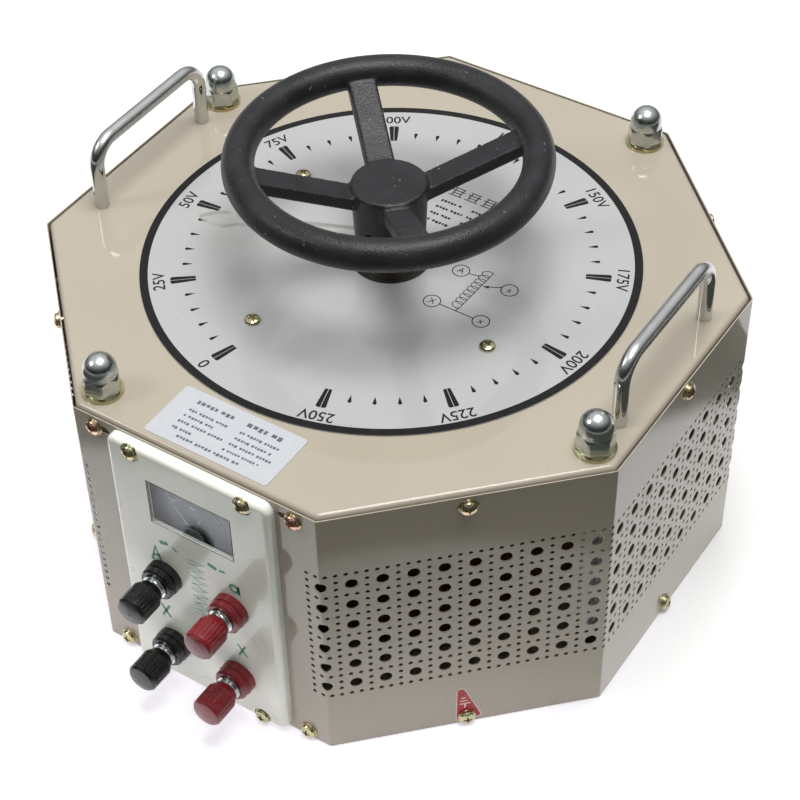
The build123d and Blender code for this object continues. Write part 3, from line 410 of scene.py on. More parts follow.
# ---------------------------------------------------------------- mesh helpers
def add_piece(name, mesh, material, body):
    """Put a finished mesh into the scene as a piece that rides on a body."""
    piece = bpy.data.objects.new(name, mesh)
    bpy.context.scene.collection.objects.link(piece)
    mesh.materials.clear()
    mesh.materials.append(material)
    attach(piece, body)
    return piece


def polar(radius, angle, centre=(0.0, 0.0)):
    """Point of a plane at a radius and an angle in radians."""
    return (centre[0] + radius * math.cos(angle), centre[1] + radius * math.sin(angle))


def arc(radius, start, end, steps, centre=(0.0, 0.0)):
    """Points along an arc, both ends included."""
    return [polar(radius, start + (end - start) * k / steps, centre) for k in range(steps + 1)]


class Film:
    """Thin printed shapes on a plane, each a closed solid one film thick. Plane sizes are millimetres."""

    def __init__(self, origin, along, up, thickness=0.06):
        self.origin = Vector(origin)
        self.along = Vector(along).normalized()
        self.up = Vector(up).normalized()
        self.normal = self.along.cross(self.up)
        self.thickness = thickness
        self.mesh = bmesh.new()

    def vertex(self, point, lift):
        spot = self.along * point[0] + self.up * point[1] + self.normal * lift
        return self.mesh.verts.new(self.origin + spot * MM)

    def band(self, first, second, closed=False):
        """Strip between two lines of points of equal number."""
        lifts = (0.0, self.thickness)
        rows = [[self.vertex(p, lift) for p in line] for lift in lifts for line in (first, second)]
        low_a, low_b, high_a, high_b = rows
        count = len(first)
        for i in range(count if closed else count - 1):
            j = (i + 1) % count
            self.mesh.faces.new((high_a[i], high_a[j], high_b[j], high_b[i]))
            self.mesh.faces.new((low_a[i], low_b[i], low_b[j], low_a[j]))
            self.mesh.faces.new((low_a[i], low_a[j], high_a[j], high_a[i]))
            self.mesh.faces.new((low_b[j], low_b[i], high_b[i], high_b[j]))
        if not closed:
            for i in (0, count - 1):
                self.mesh.faces.new((low_a[i], high_a[i], high_b[i], low_b[i]))

    def patch(self, points):
        """Filled outline."""
        low = [self.vertex(p, 0.0) for p in points]
        high = [self.vertex(p, self.thickness) for p in points]
        self.mesh.faces.new(high)
        self.mesh.faces.new(low[::-1])
        for i in range(len(points)):
            j = (i + 1) % len(points)
            self.mesh.faces.new((low[i], low[j], high[j], high[i]))

    def loop(self, centre, radius, width, steps=48):
        """Printed circle line."""
        inner = arc(radius - width / 2, 0, FULL_TURN, steps, centre)[:-1]
        outer = arc(radius + width / 2, 0, FULL_TURN, steps, centre)[:-1]
        self.band(inner, outer, closed=True)

    def stroke(self, points, width):
        """Line of even width with mitred corners."""
        line = [Vector(p) for p in points]
        left, right = [], []
        for i, here in enumerate(line):
            before = (here - line[i - 1]).normalized() if i else None
            after = (line[i + 1] - here).normalized() if i + 1 < len(line) else None
            heading = ((before or after) + (after or before)).normalized()
            side = Vector((-heading.y, heading.x))
            lean = max(0.5, heading.dot(after or before))
            left.append(here + side * (width / 2 / lean))
            right.append(here - side * (width / 2 / lean))
        self.band(left, right)

    def letters(self, text, size, centre, turn=0.0, squeeze=1.0, weight=0.0):
        """Generic sans lettering, centred on a point and turned in radians."""
        curve = bpy.data.curves.new("lettering", "FONT")
        curve.body = text
        curve.size = size
        curve.align_x = "CENTER"
        curve.align_y = "CENTER"
        curve.extrude = self.thickness / 2
        curve.offset = weight
        curve.resolution_u = 4
        holder = bpy.data.objects.new("lettering", curve)
        mesh = bpy.data.meshes.new_from_object(holder)
        place = Matrix.Translation((*centre, self.thickness / 2)) @ Matrix.Rotation(turn, 4, "Z")
        mesh.transform(place @ Matrix.Diagonal((squeeze, 1.0, 1.0, 1.0)))
        axes = Matrix((self.along, self.up, self.normal)).transposed().to_4x4()
        mesh.transform(Matrix.Translation(self.origin) @ axes @ Matrix.Scale(MM, 4))
        self.mesh.from_mesh(mesh)
        bpy.data.objects.remove(holder)
        bpy.data.curves.remove(curve)
        bpy.data.meshes.remove(mesh)

    def piece(self, name, material, body, slot):
        """Finish the film as a piece of the object."""
        bmesh.ops.recalc_face_normals(self.mesh, faces=self.mesh.faces[:])
        mesh = bpy.data.meshes.new(name)
        self.mesh.to_mesh(mesh)
        self.mesh.free()
        return add_piece(name, mesh, material, body)


# ---------------------------------------------------------------- perforated wrap
HOLE_PITCH = 15.585 * MM
LATTICE = HOLE_PITCH / 3
LATTICE_ACROSS = 5.25 * MM
SHEET = 0.6 * MM
ROLL = 0.45 * MM
ROLL_DEPTH = 0.22 * MM
ROLL_LEAN = 0.9
SMALL_HOLE = 1.2 * MM
BIG_HOLE = 3.25 * MM
SMALL_STEPS = 12
BIG_STEPS = 28
HOLE_ROWS = 6
PATTERN_START = 66.6 * MM
PATTERN_MIDDLE = 90.0 * MM
BEND_RADIUS = 2.6 * MM
BEND_STEPS = 4
SEAM_GAP = 0.15 * MM
SLOT_HALF = 3.5 * MM
SCREW_HOLE = 2.2 * MM
FRONT_SCREW = 61.0 * MM
FRONT_SLOT = 57.4 * MM
UPPER_SCREW = 171.0 * MM
LOWER_SCREW = 5.6 * MM
OPENING_HALF = (42.0 * MM, 76.0 * MM)
OPENING_MIDDLE = 88.0 * MM


def slot_outline(centre, half, radius, steps=8):
    """Outline of a slot lying along the sheet; a half length of zero gives a round hole."""
    right = arc(radius, -math.pi / 2, math.pi / 2, steps, (centre[0] + half, centre[1]))
    left = arc(radius, math.pi / 2, 3 * math.pi / 2, steps, (centre[0] - half, centre[1]))
    return right + left if half else right[:-1] + left[:-1]


def wrapped(distance):
    """Distance along the wrap brought to the range centred on the terminal side."""
    whole = SIDES * SIDE_LENGTH
    return (distance + whole / 2) % whole - whole / 2


def wrap_holes():
    """Every hole of the unfolded wrap: centre, half length, radius and outline."""
    holes = []
    rows = 3 * HOLE_ROWS + 1
    columns = 3 * round((SIDES * SIDE_LENGTH - 2 * PATTERN_START) / (3 * LATTICE_ACROSS)) + 1
    low = PATTERN_MIDDLE - LATTICE * (rows - 1) / 2
    for i in range(columns):
        for j in range(rows):
            centre = (wrapped(PATTERN_START + LATTICE_ACROSS * i), low + LATTICE * j)
            if i % 3 == 0 or j % 3 == 0:
                ring = arc(SMALL_HOLE, 0, FULL_TURN, SMALL_STEPS, centre)[:-1]
                holes.append((centre, 0.0, SMALL_HOLE, ring))
            elif i % 3 == 1 and j % 3 == 1:
                middle = (wrapped(PATTERN_START + LATTICE_ACROSS * (i + 0.5)), centre[1] + LATTICE / 2)
                holes.append((middle, 0.0, BIG_HOLE, arc(BIG_HOLE, 0, FULL_TURN, BIG_STEPS, middle)[:-1]))
    spots = [(side, 0.0) for side in range(-3, SIDES // 2 + 1) if side]
    spots += [(0, -FRONT_SCREW), (0, FRONT_SCREW)]
    for side, along in spots:
        lower = (wrapped(side * SIDE_LENGTH + along), LOWER_SCREW)
        upper = (math.copysign(FRONT_SLOT, along) if along else lower[0], UPPER_SCREW)
        holes.append((upper, SLOT_HALF, SCREW_HOLE, slot_outline(upper, SLOT_HALF, SCREW_HOLE)))
        holes.append((lower, 0.0, SCREW_HOLE, slot_outline(lower, 0.0, SCREW_HOLE)))
    return holes


def folded(distance, height, depth):
    """Point and outward normal of the folded wrap for a place on the unfolded sheet."""
    side = round(distance / SIDE_LENGTH)
    along = distance - side * SIDE_LENGTH
    tangent_run = BEND_RADIUS * math.tan(SIDE_TURN / 2)
    straight = SIDE_LENGTH / 2 - tangent_run
    facing = -math.pi / 2 + side * SIDE_TURN
    outward = Vector((math.cos(facing), math.sin(facing), 0.0))
    sideways = Vector((-outward.y, outward.x, 0.0))
    if abs(along) <= straight:
        return outward * (CASE_HALF - depth) + sideways * along + Vector((0, 0, height)), outward
    share = (abs(along) - straight) / tangent_run
    turn = math.copysign(share * SIDE_TURN / 2, along)
    normal = outward * math.cos(turn) + sideways * math.sin(turn)
    corner = outward * (CASE_HALF - BEND_RADIUS) + sideways * math.copysign(straight, along)
    return corner + normal * (BEND_RADIUS - depth) + Vector((0, 0, height)), normal


def perforated_wrap():
    """The whole wrap as one folded sheet: small and large holes, screw slots, panel opening."""
    half = SIDES * SIDE_LENGTH / 2 - SEAM_GAP
    holes = wrap_holes()
    points, edges = [], []

    def outline(ring):
        first = len(points)
        points.extend(Vector(p) for p in ring)
        edges.extend((first + k, first + (k + 1) % len(ring)) for k in range(len(ring)))

    outline([(-half, WRAP_LOW), (half, WRAP_LOW), (half, WRAP_HIGH), (-half, WRAP_HIGH)])
    opening = [
        (sx * OPENING_HALF[0], OPENING_MIDDLE + sz * OPENING_HALF[1])
        for sx, sz in ((-1, -1), (1, -1), (1, 1), (-1, 1))
    ]
    outline(opening)
    for centre, _, radius, ring in holes:
        outline(ring)
        if radius == BIG_HOLE:
            outline(arc(BIG_HOLE + ROLL, 0, FULL_TURN, BIG_STEPS, centre)[:-1])
    tangent_run = BEND_RADIUS * math.tan(SIDE_TURN / 2)
    for bend in range(-SIDES // 2, SIDES // 2):
        for step in range(BEND_STEPS + 1):
            place = (bend + 0.5) * SIDE_LENGTH + tangent_run * (2 * step / BEND_STEPS - 1)
            edges.append((len(points), len(points) + 1))
            points.extend((Vector((place, WRAP_LOW)), Vector((place, WRAP_HIGH))))
    flat, _, triangles, *_ = delaunay_2d_cdt(points, edges, [], 0, 1e-9)

    flat = np.array([tuple(p) for p in flat])
    corners = np.array(triangles)
    middles = flat[corners].mean(axis=1)
    keep = (np.abs(middles[:, 0]) < half) & (middles[:, 1] > WRAP_LOW) & (middles[:, 1] < WRAP_HIGH)
    level = np.abs(middles[:, 1] - OPENING_MIDDLE) < OPENING_HALF[1]
    keep &= ~(level & (np.abs(middles[:, 0]) < OPENING_HALF[0]))
    order = np.argsort(middles[:, 0])
    sorted_x = middles[order, 0]
    for centre, slot_half, radius, _ in holes:
        reach = slot_half + radius
        first, last = np.searchsorted(sorted_x, (centre[0] - reach, centre[0] + reach))
        near = order[first:last]
        beyond = np.maximum(np.abs(middles[near, 0] - centre[0]) - slot_half, 0.0)
        keep[near[np.hypot(beyond, middles[near, 1] - centre[1]) < radius]] = False
    corners = corners[keep]

    used, corners = np.unique(corners, return_inverse=True)
    corners = corners.reshape(-1, 3)
    flat = flat[used]
    outer = [folded(u, z, 0.0) for u, z in flat]
    for centre, _, radius, _ in holes:
        if radius != BIG_HOLE:
            continue
        # the punched edge rolls inward and catches the light
        offset = flat - np.array(centre)
        for index in np.flatnonzero(np.hypot(offset[:, 0], offset[:, 1]) < BIG_HOLE + 1e-7):
            point, normal = folded(*flat[index], ROLL_DEPTH)
            sideways = Vector((0, 0, 1)).cross(normal)
            inward = -(sideways * offset[index, 0] + Vector((0, 0, offset[index, 1]))).normalized()
            outer[index] = (point, (normal + inward * ROLL_LEAN).normalized())
    inner = [folded(u, z, SHEET) for u, z in flat]
    count = len(flat)
    sides = np.concatenate([corners[:, [0, 1]], corners[:, [1, 2]], corners[:, [2, 0]]])
    directed = {tuple(e) for e in sides.tolist()}
    rims = [(a, b) for a, b in directed if (b, a) not in directed]
    rims.sort()
    faces = corners.tolist() + (corners[:, ::-1] + count).tolist()
    faces += [(b, a, a + count, b + count) for a, b in rims]
    mesh = bpy.data.meshes.new("perforated_wrap")
    mesh.from_pydata([p for p, _ in outer] + [p for p, _ in inner], [], faces)
    mesh.update()
    sheet_faces = 2 * len(corners)
    normals = []
    for polygon in mesh.polygons:
        for vertex in polygon.vertices:
            if polygon.index >= sheet_faces:
                normals.append(polygon.normal.copy())
            elif vertex < count:
                normals.append(outer[vertex][1])
            else:
                normals.append(-inner[vertex - count][1])
    mesh.shade_smooth()
    mesh.normals_split_custom_set(normals)
    piece = add_piece("perforated_wrap", mesh, MATERIALS["enamel_beige"], "case")
    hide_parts("side_wrap", "wrap_front")


# ---------------------------------------------------------------- handwheel
WHEEL_VOXEL = 0.85 * MM
WHEEL_SMOOTHING = 5


def moulded_wheel():
    """The handwheel as one moulding, its spokes running into rim and hub with soft fillets."""
    mesh = nodes["handwheel"].data.copy()
    mesh.name = "moulded_handwheel"
    piece = bpy.data.objects.new("moulded_handwheel", mesh)
    bpy.context.scene.collection.objects.link(piece)
    remesh = piece.modifiers.new("one_skin", "REMESH")
    remesh.mode = "VOXEL"
    remesh.voxel_size = WHEEL_VOXEL
    smooth = piece.modifiers.new("fillets", "SMOOTH")
    smooth.factor = 0.5
    smooth.iterations = WHEEL_SMOOTHING
    evaluated = piece.evaluated_get(bpy.context.evaluated_depsgraph_get())
    skin = bpy.data.meshes.new_from_object(evaluated)
    bpy.data.objects.remove(piece)
    skin.name = "moulded_handwheel"
    skin.shade_smooth()
    wheel = add_piece("moulded_handwheel", skin, MATERIALS["wheel_black"], "wheel_rotor")
    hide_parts("handwheel")


# ---------------------------------------------------------------- dial print
SCALE_CENTRE = (0.8, -1.3)
SCALE_START = math.radians(-106.9)
SCALE_SWEEP = math.radians(-327.3)
SCALE_VOLTS = 250
MAJOR_STEP = 25
MINOR_STEP = 5
# radius and sideways reach of each corner of one bar of a major mark
MAJOR_BAR = ((105.5, 0.17), (119.2, 0.17), (119.2, 2.1), (118.3, 2.8), (105.9, 1.9), (105.5, 1.6))
MINOR_TIP = 107.2
MINOR_SHOULDER = 111.8
MINOR_RADIUS = 1.05
RING_INNER = 131.4
RING_OUTER = 135.9
DIAL_BORE = 21.8 * MM
EDGE_BREAK = 0.0002
NUMERAL_RADIUS = 125.0
NUMERAL_SIZE = 9.2
NUMERAL_WEIGHT = 0.08
SYMBOLS = {"A": (38.1, 10.5), "a": (68.4, 10.3), "X": (37.9, -18.5), "x": (68.2, -18.7)}
SYMBOL_RADIUS = 4.6
PRINT_LINE = 0.55
COIL_TOP = (51.5, 17.0)
COIL_FOOT = (50.4, -15.5)
COIL_TURNS = 9
COIL_RADIUS = 2.7


def scale_angle(volts):
    """Direction of a voltage on the dial."""
    return SCALE_START + SCALE_SWEEP * volts / SCALE_VOLTS


def major_mark(film, angle):
    """Two tapered bars side by side with a hairline between them."""
    for side in (1, -1):
        outline = []
        for radius, reach in MAJOR_BAR:
            outline.append(polar(radius, angle + side * reach / radius, SCALE_CENTRE))
        film.patch(outline)


def minor_mark(film, angle):
    """Drop with its point towards the shaft."""
    round_end = arc(MINOR_RADIUS, angle - 1.9, angle + 1.9, 10, polar(MINOR_SHOULDER, angle, SCALE_CENTRE))
    film.patch(round_end + [polar(MINOR_TIP, angle, SCALE_CENTRE)])


def circuit(film):
    """Generic winding diagram: four lettered terminals, a coil and its sliding tap."""
    for letter, centre in SYMBOLS.items():
        film.loop(centre, SYMBOL_RADIUS, PRINT_LINE)
        film.letters(letter, 5.6, centre)
    centres = {k: Vector(v) for k, v in SYMBOLS.items()}
    foot = Vector((COIL_FOOT[0], centres["X"].y))
    edge = Vector((SYMBOL_RADIUS, 0))
    film.stroke([centres["X"] + edge, centres["x"] - edge], PRINT_LINE)
    film.stroke([centres["A"] + edge, (COIL_TOP[0] - 2.0, centres["A"].y + 1.5)], PRINT_LINE)
    tap = centres["a"] - edge
    film.stroke([tap, (COIL_TOP[0] + 6.0, tap.y - 3.6)], PRINT_LINE)
    head = Vector((COIL_TOP[0] + 2.8, tap.y - 4.8))
    film.patch([head, head + Vector((3.9, 0.1)), head + Vector((3.1, 2.2))])
    coil = []
    steps = COIL_TURNS * 16
    for k in range(steps + 1):
        share = k / steps
        turn = FULL_TURN * COIL_TURNS * share
        middle = Vector(COIL_TOP).lerp(Vector(COIL_FOOT), share)
        coil.append(middle + Vector((COIL_RADIUS * math.cos(turn), 1.6 * math.sin(turn))))
    film.stroke(coil, PRINT_LINE * 0.8)
    film.stroke([coil[-1], foot + Vector((2.0, 0))], PRINT_LINE)
    film.stroke([coil[0], Vector(COIL_FOOT) + Vector((COIL_RADIUS, 0))], PRINT_LINE * 0.8)


def dial_print():
    """Ring, voltage scale and diagram printed on the dial plate."""
    film = Film((0, 0, DIAL_TOP), (1, 0, 0), (0, 1, 0))
    film.loop((0, 0), (RING_INNER + RING_OUTER) / 2, RING_OUTER - RING_INNER, 256)
    for volts in range(0, SCALE_VOLTS + 1, MINOR_STEP):
        angle = scale_angle(volts)
        if volts % MAJOR_STEP:
            minor_mark(film, angle)
            continue
        major_mark(film, angle)
        text = f"{volts}V" if volts else "0"
        centre = polar(NUMERAL_RADIUS, angle, SCALE_CENTRE)
        film.letters(text, NUMERAL_SIZE, centre, angle - math.pi / 2, 0.98, NUMERAL_WEIGHT)
    circuit(film)
    for x in (1.4, 11.6, 21.8):
        generic_glyph(film, (x, 67.0), 4.1)
    for k, y in enumerate((56.4, 50.4, 44.4, 38.4)):
        generic_row(film, -3.0, 12.0 + 3.0 * (k % 2), y, 1.9, k)
        generic_row(film, 16.5, 28.0 - 3.0 * (k % 2), y, 1.9, k + 1)
    film.piece("dial_print", INK_BLACK, "case", "dial_white")


def dial_disc():
    """Dial sheet cut to the outer edge of its printed ring, with a soft edge."""
    low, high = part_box("dial_plate")
    rim = RING_OUTER * MM
    profile = [
        (DIAL_BORE, low.z), (DIAL_BORE, high.z), (rim - EDGE_BREAK, high.z),
        (rim, high.z - EDGE_BREAK), (rim, low.z),
    ]
    steps = 288
    made = bmesh.new()
    turns = [FULL_TURN * k / steps for k in range(steps)]
    rings = [[made.verts.new((*polar(radius, turn), z)) for turn in turns] for radius, z in profile]
    for lower, upper in zip(rings, rings[1:] + rings[:1]):
        for k in range(steps):
            j = (k + 1) % steps
            made.faces.new((lower[k], lower[j], upper[j], upper[k]))
    bmesh.ops.recalc_face_normals(made, faces=made.faces[:])
    mesh = bpy.data.meshes.new("dial_disc")
    made.to_mesh(mesh)
    made.free()
    disc = add_piece("dial_disc", mesh, MATERIALS["dial_white"], "case")
    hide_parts("dial_plate")


def generic_row(film, left, right, y, height, seed):
    """Row of short blocks, in groups, that stands for a line of printed text."""
    x, group = left, 0
    while x < right - height:
        width = height * (0.62 + 0.3 * ((7 * group + 3 * seed) % 4) / 3)
        low = y - height / 2 + 0.12 * height * ((group + seed) % 3)
        film.patch([(x, low), (x + width, low), (x + width, y + height / 2), (x, y + height / 2)])
        group += 1
        x += width + height * (0.3 if (group + seed) % 5 else 0.95)


def generic_glyph(film, centre, half):
    """Square of bars that stands for one large printed character."""
    x, y = centre
    for share, reach in ((-0.85, 1.0), (-0.3, 0.7), (0.25, 1.0), (0.8, 0.8)):
        film.stroke([(x - half * reach, y + half * share), (x + half * reach, y + half * share)], 0.62)
    for share in (-0.55, 0.6):
        film.stroke([(x + half * share, y - half * 0.72), (x + half * share, y + half * 0.68)], 0.62)


def label_print():
    """Grey rows on the rating label; they stand for its text and say nothing."""
    middle = ((LABEL_LOW.x + LABEL_HIGH.x) / 2, (LABEL_LOW.y + LABEL_HIGH.y) / 2, LABEL_HIGH.z)
    film = Film(middle, (1, 0, 0), (0, 1, 0), 0.03)
    rows = (
        (-25.5, -1.0, 11.2, 2.5), (5.3, 27.7, 11.2, 3.0),
        (-26.1, -0.7, 4.6, 1.7), (5.2, 29.4, 4.9, 1.7),
        (-26.0, -6.9, 0.2, 1.7), (5.2, 28.4, 0.2, 1.7),
        (-26.3, 1.4, -4.3, 1.7), (5.1, 31.0, -4.3, 1.7),
        (-26.3, -13.2, -9.2, 1.7), (4.5, 27.3, -9.0, 1.5),
        (-20.3, 19.0, -13.6, 1.9),
    )
    for seed, (left, right, y, height) in enumerate(rows):
        generic_row(film, left, right, y, height, seed)
    film.piece("label_print", INK_GREY, "case", "label_paper")


def rating_label():
    """The paper label with rounded corners."""
    half_x = (LABEL_HIGH.x - LABEL_LOW.x) / 2 / MM
    half_y = (LABEL_HIGH.y - LABEL_LOW.y) / 2 / MM
    middle = ((LABEL_LOW.x + LABEL_HIGH.x) / 2, (LABEL_LOW.y + LABEL_HIGH.y) / 2, LABEL_LOW.z)
    film = Film(middle, (1, 0, 0), (0, 1, 0), (LABEL_HIGH.z - LABEL_LOW.z) / MM)
    corners = [(-half_x, -half_y), (half_x, -half_y), (half_x, half_y), (-half_x, half_y)]
    film.patch(rounded(corners, (2.0,) * 4))
    label = film.piece("paper_label", MATERIALS["label_paper"], "case", "label_paper")
    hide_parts("rating_label")


# ---------------------------------------------------------------- earth tag
TAG_CORNERS = [(-6.1, 1.9), (9.2, 3.6), (-5.5, 41.0)]
TAG_RADII = (2.0, 2.0, 2.75)
TAG_BORDER = 0.75


def rounded(corners, radii, inset=0.0, steps=6):
    """Closed outline with every corner rounded, drawn inward by the inset."""
    points = [Vector(c) for c in corners]
    outline = []
    for i, here in enumerate(points):
        to_last = (points[i - 1] - here).normalized()
        to_next = (points[(i + 1) % len(points)] - here).normalized()
        half = to_last.angle(to_next) / 2
        centre = here + (to_last + to_next).normalized() * (radii[i] / math.sin(half))
        first = here + to_last * (radii[i] / math.tan(half)) - centre
        last = here + to_next * (radii[i] / math.tan(half)) - centre
        start = math.atan2(first.y, first.x)
        turn = (math.atan2(last.y, last.x) - start + math.pi) % FULL_TURN - math.pi
        outline += arc(radii[i] - inset, start, start + turn, steps, centre)
    return outline


def earth_tag():
    """Red tag with a pale border and the earth symbol, under the washer of the earth screw."""
    facing = -math.pi / 2 + SIDE_TURN
    outward = Vector((math.cos(facing), math.sin(facing), 0))
    sideways = Vector((-outward.y, outward.x, 0))
    film = Film(outward * CASE_HALF, sideways, (0, 0, 1), 0.10)
    film.patch(rounded(TAG_CORNERS, TAG_RADII))
    border = film.piece("earth_tag_border", INK_WHITE, "case", "tag_red")
    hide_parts("ground_tag")
    film = Film(outward * (CASE_HALF + 0.10 * MM), sideways, (0, 0, 1), 0.05)
    film.patch(rounded(TAG_CORNERS, TAG_RADII, TAG_BORDER))
    film.piece("earth_tag_field", MATERIALS["tag_red"], "case", "tag_red")
    film = Film(outward * (CASE_HALF + 0.15 * MM), sideways, (0, 0, 1), 0.03)
    for left, right, height in ((-4.0, 2.3, 16.5), (-3.5, 0.6, 18.9), (-2.9, -0.5, 21.4)):
        film.stroke([(left, height), (right, height)], 0.95)
    film.stroke([(-0.9, 13.0), (-0.9, 16.5)], 1.0)
    film.piece("earth_symbol", INK_WHITE, "case", "tag_red")


# ---------------------------------------------------------------- marks on the panel
def panel_marks():
    """Felt-pen terminal letters, ticks and a rubbed-out scribble on the panel."""
    film = Film((0, PANEL_FACE, 0), (1, 0, 0), (0, 0, 1), 0.03)
    film.stroke([(-29.2, 95.0), (-26.2, 106.5), (-23.2, 97.0)], 1.8)
    film.stroke([(-28.2, 99.4), (-23.8, 101.4)], 1.5)
    film.stroke([(-22.6, 112.2), (-17.2, 113.6)], 2.6)
    film.stroke([(-14.4, 113.0), (-11.6, 110.4)], 1.2)
    film.stroke([(-27.8, 60.4), (-22.2, 52.0)], 1.7)
    film.stroke([(-22.2, 61.6), (-27.8, 50.8)], 1.6)
    film.stroke([(8.4, 114.0), (13.8, 112.6)], 2.6)
    film.stroke([(15.4, 112.8), (19.2, 113.4)], 1.6)
    film.loop((24.2, 104.0), 2.5, 1.6, 20)
    film.stroke([(26.9, 107.0), (27.3, 100.6)], 1.6)
    film.stroke([(22.4, 58.6), (28.2, 51.4)], 1.3)
    film.stroke([(27.4, 59.8), (22.7, 50.0)], 1.3)
    zigzag = []
    for k in range(62):
        reach = 4.4 + 1.5 * math.sin(1.7 * k)
        zigzag.append(((reach if k % 2 else -reach) + 0.03 * k, 109.5 - 0.68 * k + 1.7 * math.sin(2.3 * k)))
    film.stroke(zigzag, 0.62)
    film.piece("panel_pen_marks", MARKER, "case", "panel_plastic")


# ---------------------------------------------------------------- voltmeter scale
METER_RADIUS = 21.5
METER_HALF_SWEEP = math.radians(42)
METER_PIVOT_HEIGHT = 126.0
METER_LINE = 0.3
METER_DIVISIONS = 25


def meter_print():
    """Arc, divisions and unit letter printed on the voltmeter's scale plate."""
    pivot = ((PIVOT_LOW.x + PIVOT_HIGH.x) / 2 / MM, METER_PIVOT_HEIGHT)
    film = Film((0, METER_FACE, 0), (1, 0, 0), (0, 0, 1), 0.04)
    start = math.pi / 2 + METER_HALF_SWEEP
    end = math.pi / 2 - METER_HALF_SWEEP
    inner, outer = (arc(METER_RADIUS + side * METER_LINE / 2, start, end, 40, pivot) for side in (-1, 1))
    film.band(inner, outer)
    for k in range(METER_DIVISIONS + 1):
        angle = start + (end - start) * k / METER_DIVISIONS
        length = 2.6 if k % 5 == 0 else 1.5
        film.stroke([polar(METER_RADIUS, angle, pivot), polar(METER_RADIUS + length, angle, pivot)], 0.28)
    for k in range(6):
        angle = start + (end - start) * k / 5
        film.letters(str(50 * k), 2.6, polar(METER_RADIUS + 4.1, angle, pivot), angle - math.pi / 2)
    film.letters("V", 6.0, (pivot[0] + 1.6, 135.2))
    film.stroke([(pivot[0] - 3.0, 143.4), (pivot[0] + 0.4, 143.4)], 0.9)
    film.piece("meter_print", INK_PALE, "case", "meter_face")


def painted_window_gap_shade():
    """Painted shade: a dark band on the panel face round the voltmeter's window, where the gap lies in
    shadow.
    """
    low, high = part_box("meter_window")
    middle = ((low.x + high.x) / 2, PANEL_FACE, (low.z + high.z) / 2)
    half_x, half_z = (high.x - low.x) / 2 / MM, (high.z - low.z) / 2 / MM
    film = Film(middle, (1, 0, 0), (0, 0, 1), 0.03)
    inner, outer = (
        [(-x, -z), (x, -z), (x, z), (-x, z)]
        for x, z in ((half_x - 0.1, half_z - 0.1), (half_x + 0.4, half_z + 0.4))
    )
    # the dark band is painted shade of the gap round the window
    film.band(inner, outer, closed=True)
    film.piece("window_gap_painted_shade", MATERIALS["black_plastic"], "case", "black_plastic")


perforated_wrap()
moulded_wheel()
dial_disc()
dial_print()
rating_label()
label_print()
painted_window_gap_shade()
earth_tag()
panel_marks()
meter_print()

# ---------------------------------------------------------------- floor, light, camera
CAMERA_AZIMUTH = math.radians(33.87)
CAMERA_ELEVATION = math.radians(44.18)
CAMERA_ROLL = math.radians(-1.37)
CAMERA_DISTANCE = 1.1451
CAMERA_TARGET = Vector((0.0186, -0.0223, 0.100))
CAMERA_LENS = 92.31
STAGE_SIZE = 30.0
PATCH_CENTRE = (-0.02, -0.02, 0.0)
GLOW_CENTRE = (-0.08, -0.06, 0.0)
CLOTH_SPAN = math.radians(200)
FLAG_INNER = 0.30
FLAG_SOFT = 0.02
GLOW_INNER = 0.22
GLOW = 0.42
FLAG_OUTER = 1.8
ROOM_TILT = 0.3
ROOM_LEVELS = ((0.25, 0.07), (0.45, 0.26), (0.70, 0.56))


def stage_piece(name, points, faces, look):
    """Put a flat stage piece into the scene."""
    mesh = bpy.data.meshes.new(name)
    mesh.from_pydata(points, [], faces)
    mesh.materials.append(look.material)
    piece = bpy.data.objects.new(name, mesh)
    bpy.context.scene.collection.objects.link(piece)
    return piece


def pale_floor():
    """Plain pale floor with a painted glow: its emission rises towards the object, fills the shadow round
    it and lights the lower case sides.
    """
    look = Look("pale_floor", (0.90, 0.90, 0.90), 0.7)
    look.mottle(0.4, 0.01)
    span = look.node("ShaderNodeVectorMath", operation="DISTANCE")
    look.feed(span, i0=look.point, i1=GLOW_CENTRE)
    # painted light: the floor glows round the object and lights the case sides from below
    painted_glow = look.spread(span.outputs["Value"], GLOW_INNER, FLAG_INNER, GLOW, 0.0)
    look.feed(look.shader, **{"Emission Strength": painted_glow, "Emission Color": (1.0, 0.96, 1.10, 1.0)})
    reach = STAGE_SIZE / 2
    points = [(-reach, -reach, 0), (reach, -reach, 0), (reach, reach, 0), (-reach, reach, 0)]
    stage_piece("pale_floor", points, [(0, 1, 2, 3)], look)


def dark_surround():
    """Black cloth on the camera side of the pale patch: it bounds the light that the floor throws back."""
    look = Look("black_cloth", (0.035, 0.04, 0.03), 0.9)
    look.mottle(0.2, 0.1)
    surface = look.node("ShaderNodeNewGeometry")
    reach = look.node("ShaderNodeVectorMath", operation="DISTANCE")
    look.feed(reach, i0=look.point, i1=PATCH_CENTRE)
    hem = look.spread(reach.outputs["Value"], FLAG_INNER, FLAG_INNER + FLAG_SOFT, 1.0, 0.0)
    clear = look.sum("MAXIMUM", surface.outputs["Backfacing"], hem)
    blend = look.node("ShaderNodeMixShader")
    look.feed(blend, i0=clear)
    through = look.node("ShaderNodeBsdfTransparent")
    look.tree.links.new(look.shader.outputs[0], blend.inputs[1])
    look.tree.links.new(through.outputs[0], blend.inputs[2])
    output = next(n for n in look.tree.nodes if n.type == "OUTPUT_MATERIAL")
    look.tree.links.new(blend.outputs[0], output.inputs["Surface"])
    steps = 96
    middle = CAMERA_AZIMUTH - math.pi / 2
    points = [
        (*polar(radius, middle + CLOTH_SPAN * (k / steps - 0.5)), 0.001)
        for radius in (FLAG_INNER - 0.03, FLAG_OUTER) for k in range(steps + 1)
    ]
    faces = [(k, steps + 1 + k, steps + 2 + k, k + 1) for k in range(steps)]
    cloth = stage_piece("black_cloth", points, faces, look)
    cloth.visible_camera = False
    cloth.visible_shadow = False


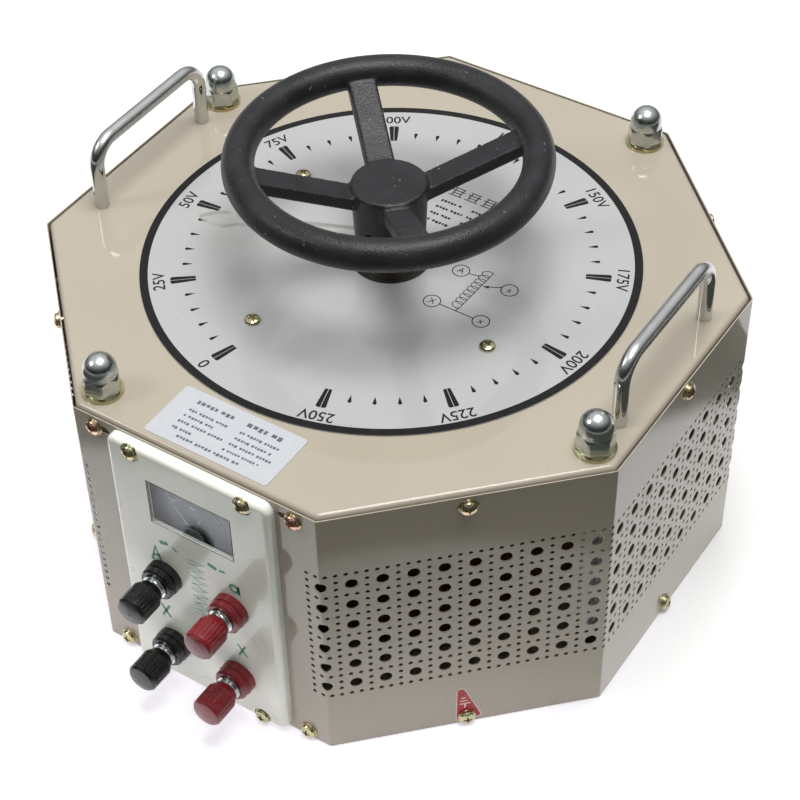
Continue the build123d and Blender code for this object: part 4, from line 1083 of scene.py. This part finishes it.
def soft_light(name, place, target, size, power):
    """Square area light aimed at a point."""
    data = bpy.data.lights.new(name, "AREA")
    data.shape = "RECTANGLE"
    data.size, data.size_y = size
    data.energy = power
    light = bpy.data.objects.new(name, data)
    light.location = place
    light.rotation_euler = (Vector(target) - Vector(place)).to_track_quat("-Z", "Y").to_euler()
    bpy.context.scene.collection.objects.link(light)


def room():
    """Dim room, dark beyond the camera and pale overhead and behind, so that plated parts have contrast."""
    world = bpy.data.worlds.new("room")
    world.use_nodes = True
    tree = world.node_tree
    background = tree.nodes["Background"]
    direction = tree.nodes.new("ShaderNodeTexCoord")
    height = tree.nodes.new("ShaderNodeVectorMath")
    height.operation = "DOT_PRODUCT"
    height.inputs[1].default_value = (
        -ROOM_TILT * math.sin(CAMERA_AZIMUTH), ROOM_TILT * math.cos(CAMERA_AZIMUTH), 1.0,
    )
    ramp = tree.nodes.new("ShaderNodeValToRGB")
    tree.links.new(direction.outputs["Generated"], height.inputs[0])
    tree.links.new(height.outputs["Value"], ramp.inputs[0])
    tree.links.new(ramp.outputs[0], background.inputs["Color"])
    stops = ramp.color_ramp.elements
    stops[0].position, stops[0].color = 0.0, (0.016, 0.026, 0.018, 1)
    stops[1].position, stops[1].color = 1.0, (0.85, 0.85, 0.85, 1)
    for position, level in ROOM_LEVELS:
        stops.new(position).color = (level, 1.01 * level, 0.98 * level, 1)
    background.inputs["Strength"].default_value = 1.0
    bpy.context.scene.world = world


def camera():
    """Camera looking down on the terminal side from the right."""
    data = bpy.data.cameras.new("view")
    data.lens = CAMERA_LENS
    data.sensor_width = 36.0
    viewer = bpy.data.objects.new("view", data)
    level = math.cos(CAMERA_ELEVATION)
    back = Vector((
        math.sin(CAMERA_AZIMUTH) * level,
        -math.cos(CAMERA_AZIMUTH) * level,
        math.sin(CAMERA_ELEVATION),
    ))
    right = (-back).cross(Vector((0, 0, 1))).normalized()
    up = right.cross(-back)
    rolled_right = right * math.cos(CAMERA_ROLL) + up * math.sin(CAMERA_ROLL)
    rolled_up = up * math.cos(CAMERA_ROLL) - right * math.sin(CAMERA_ROLL)
    turn = Matrix((rolled_right, rolled_up, back)).transposed().to_4x4()
    viewer.matrix_world = Matrix.Translation(CAMERA_TARGET + back * CAMERA_DISTANCE) @ turn
    bpy.context.scene.collection.objects.link(viewer)
    bpy.context.scene.camera = viewer


pale_floor()
dark_surround()
room()
soft_light("overhead", (0.25, 0.05, 2.4), (0, 0, 0.15), (1.25, 1.05), 47)
soft_light("left", (-1.25, -1.1, 1.7), (0, 0, 0.15), (0.5, 0.5), 9)
camera()
bpy.context.scene.view_settings.view_transform = "Standard"
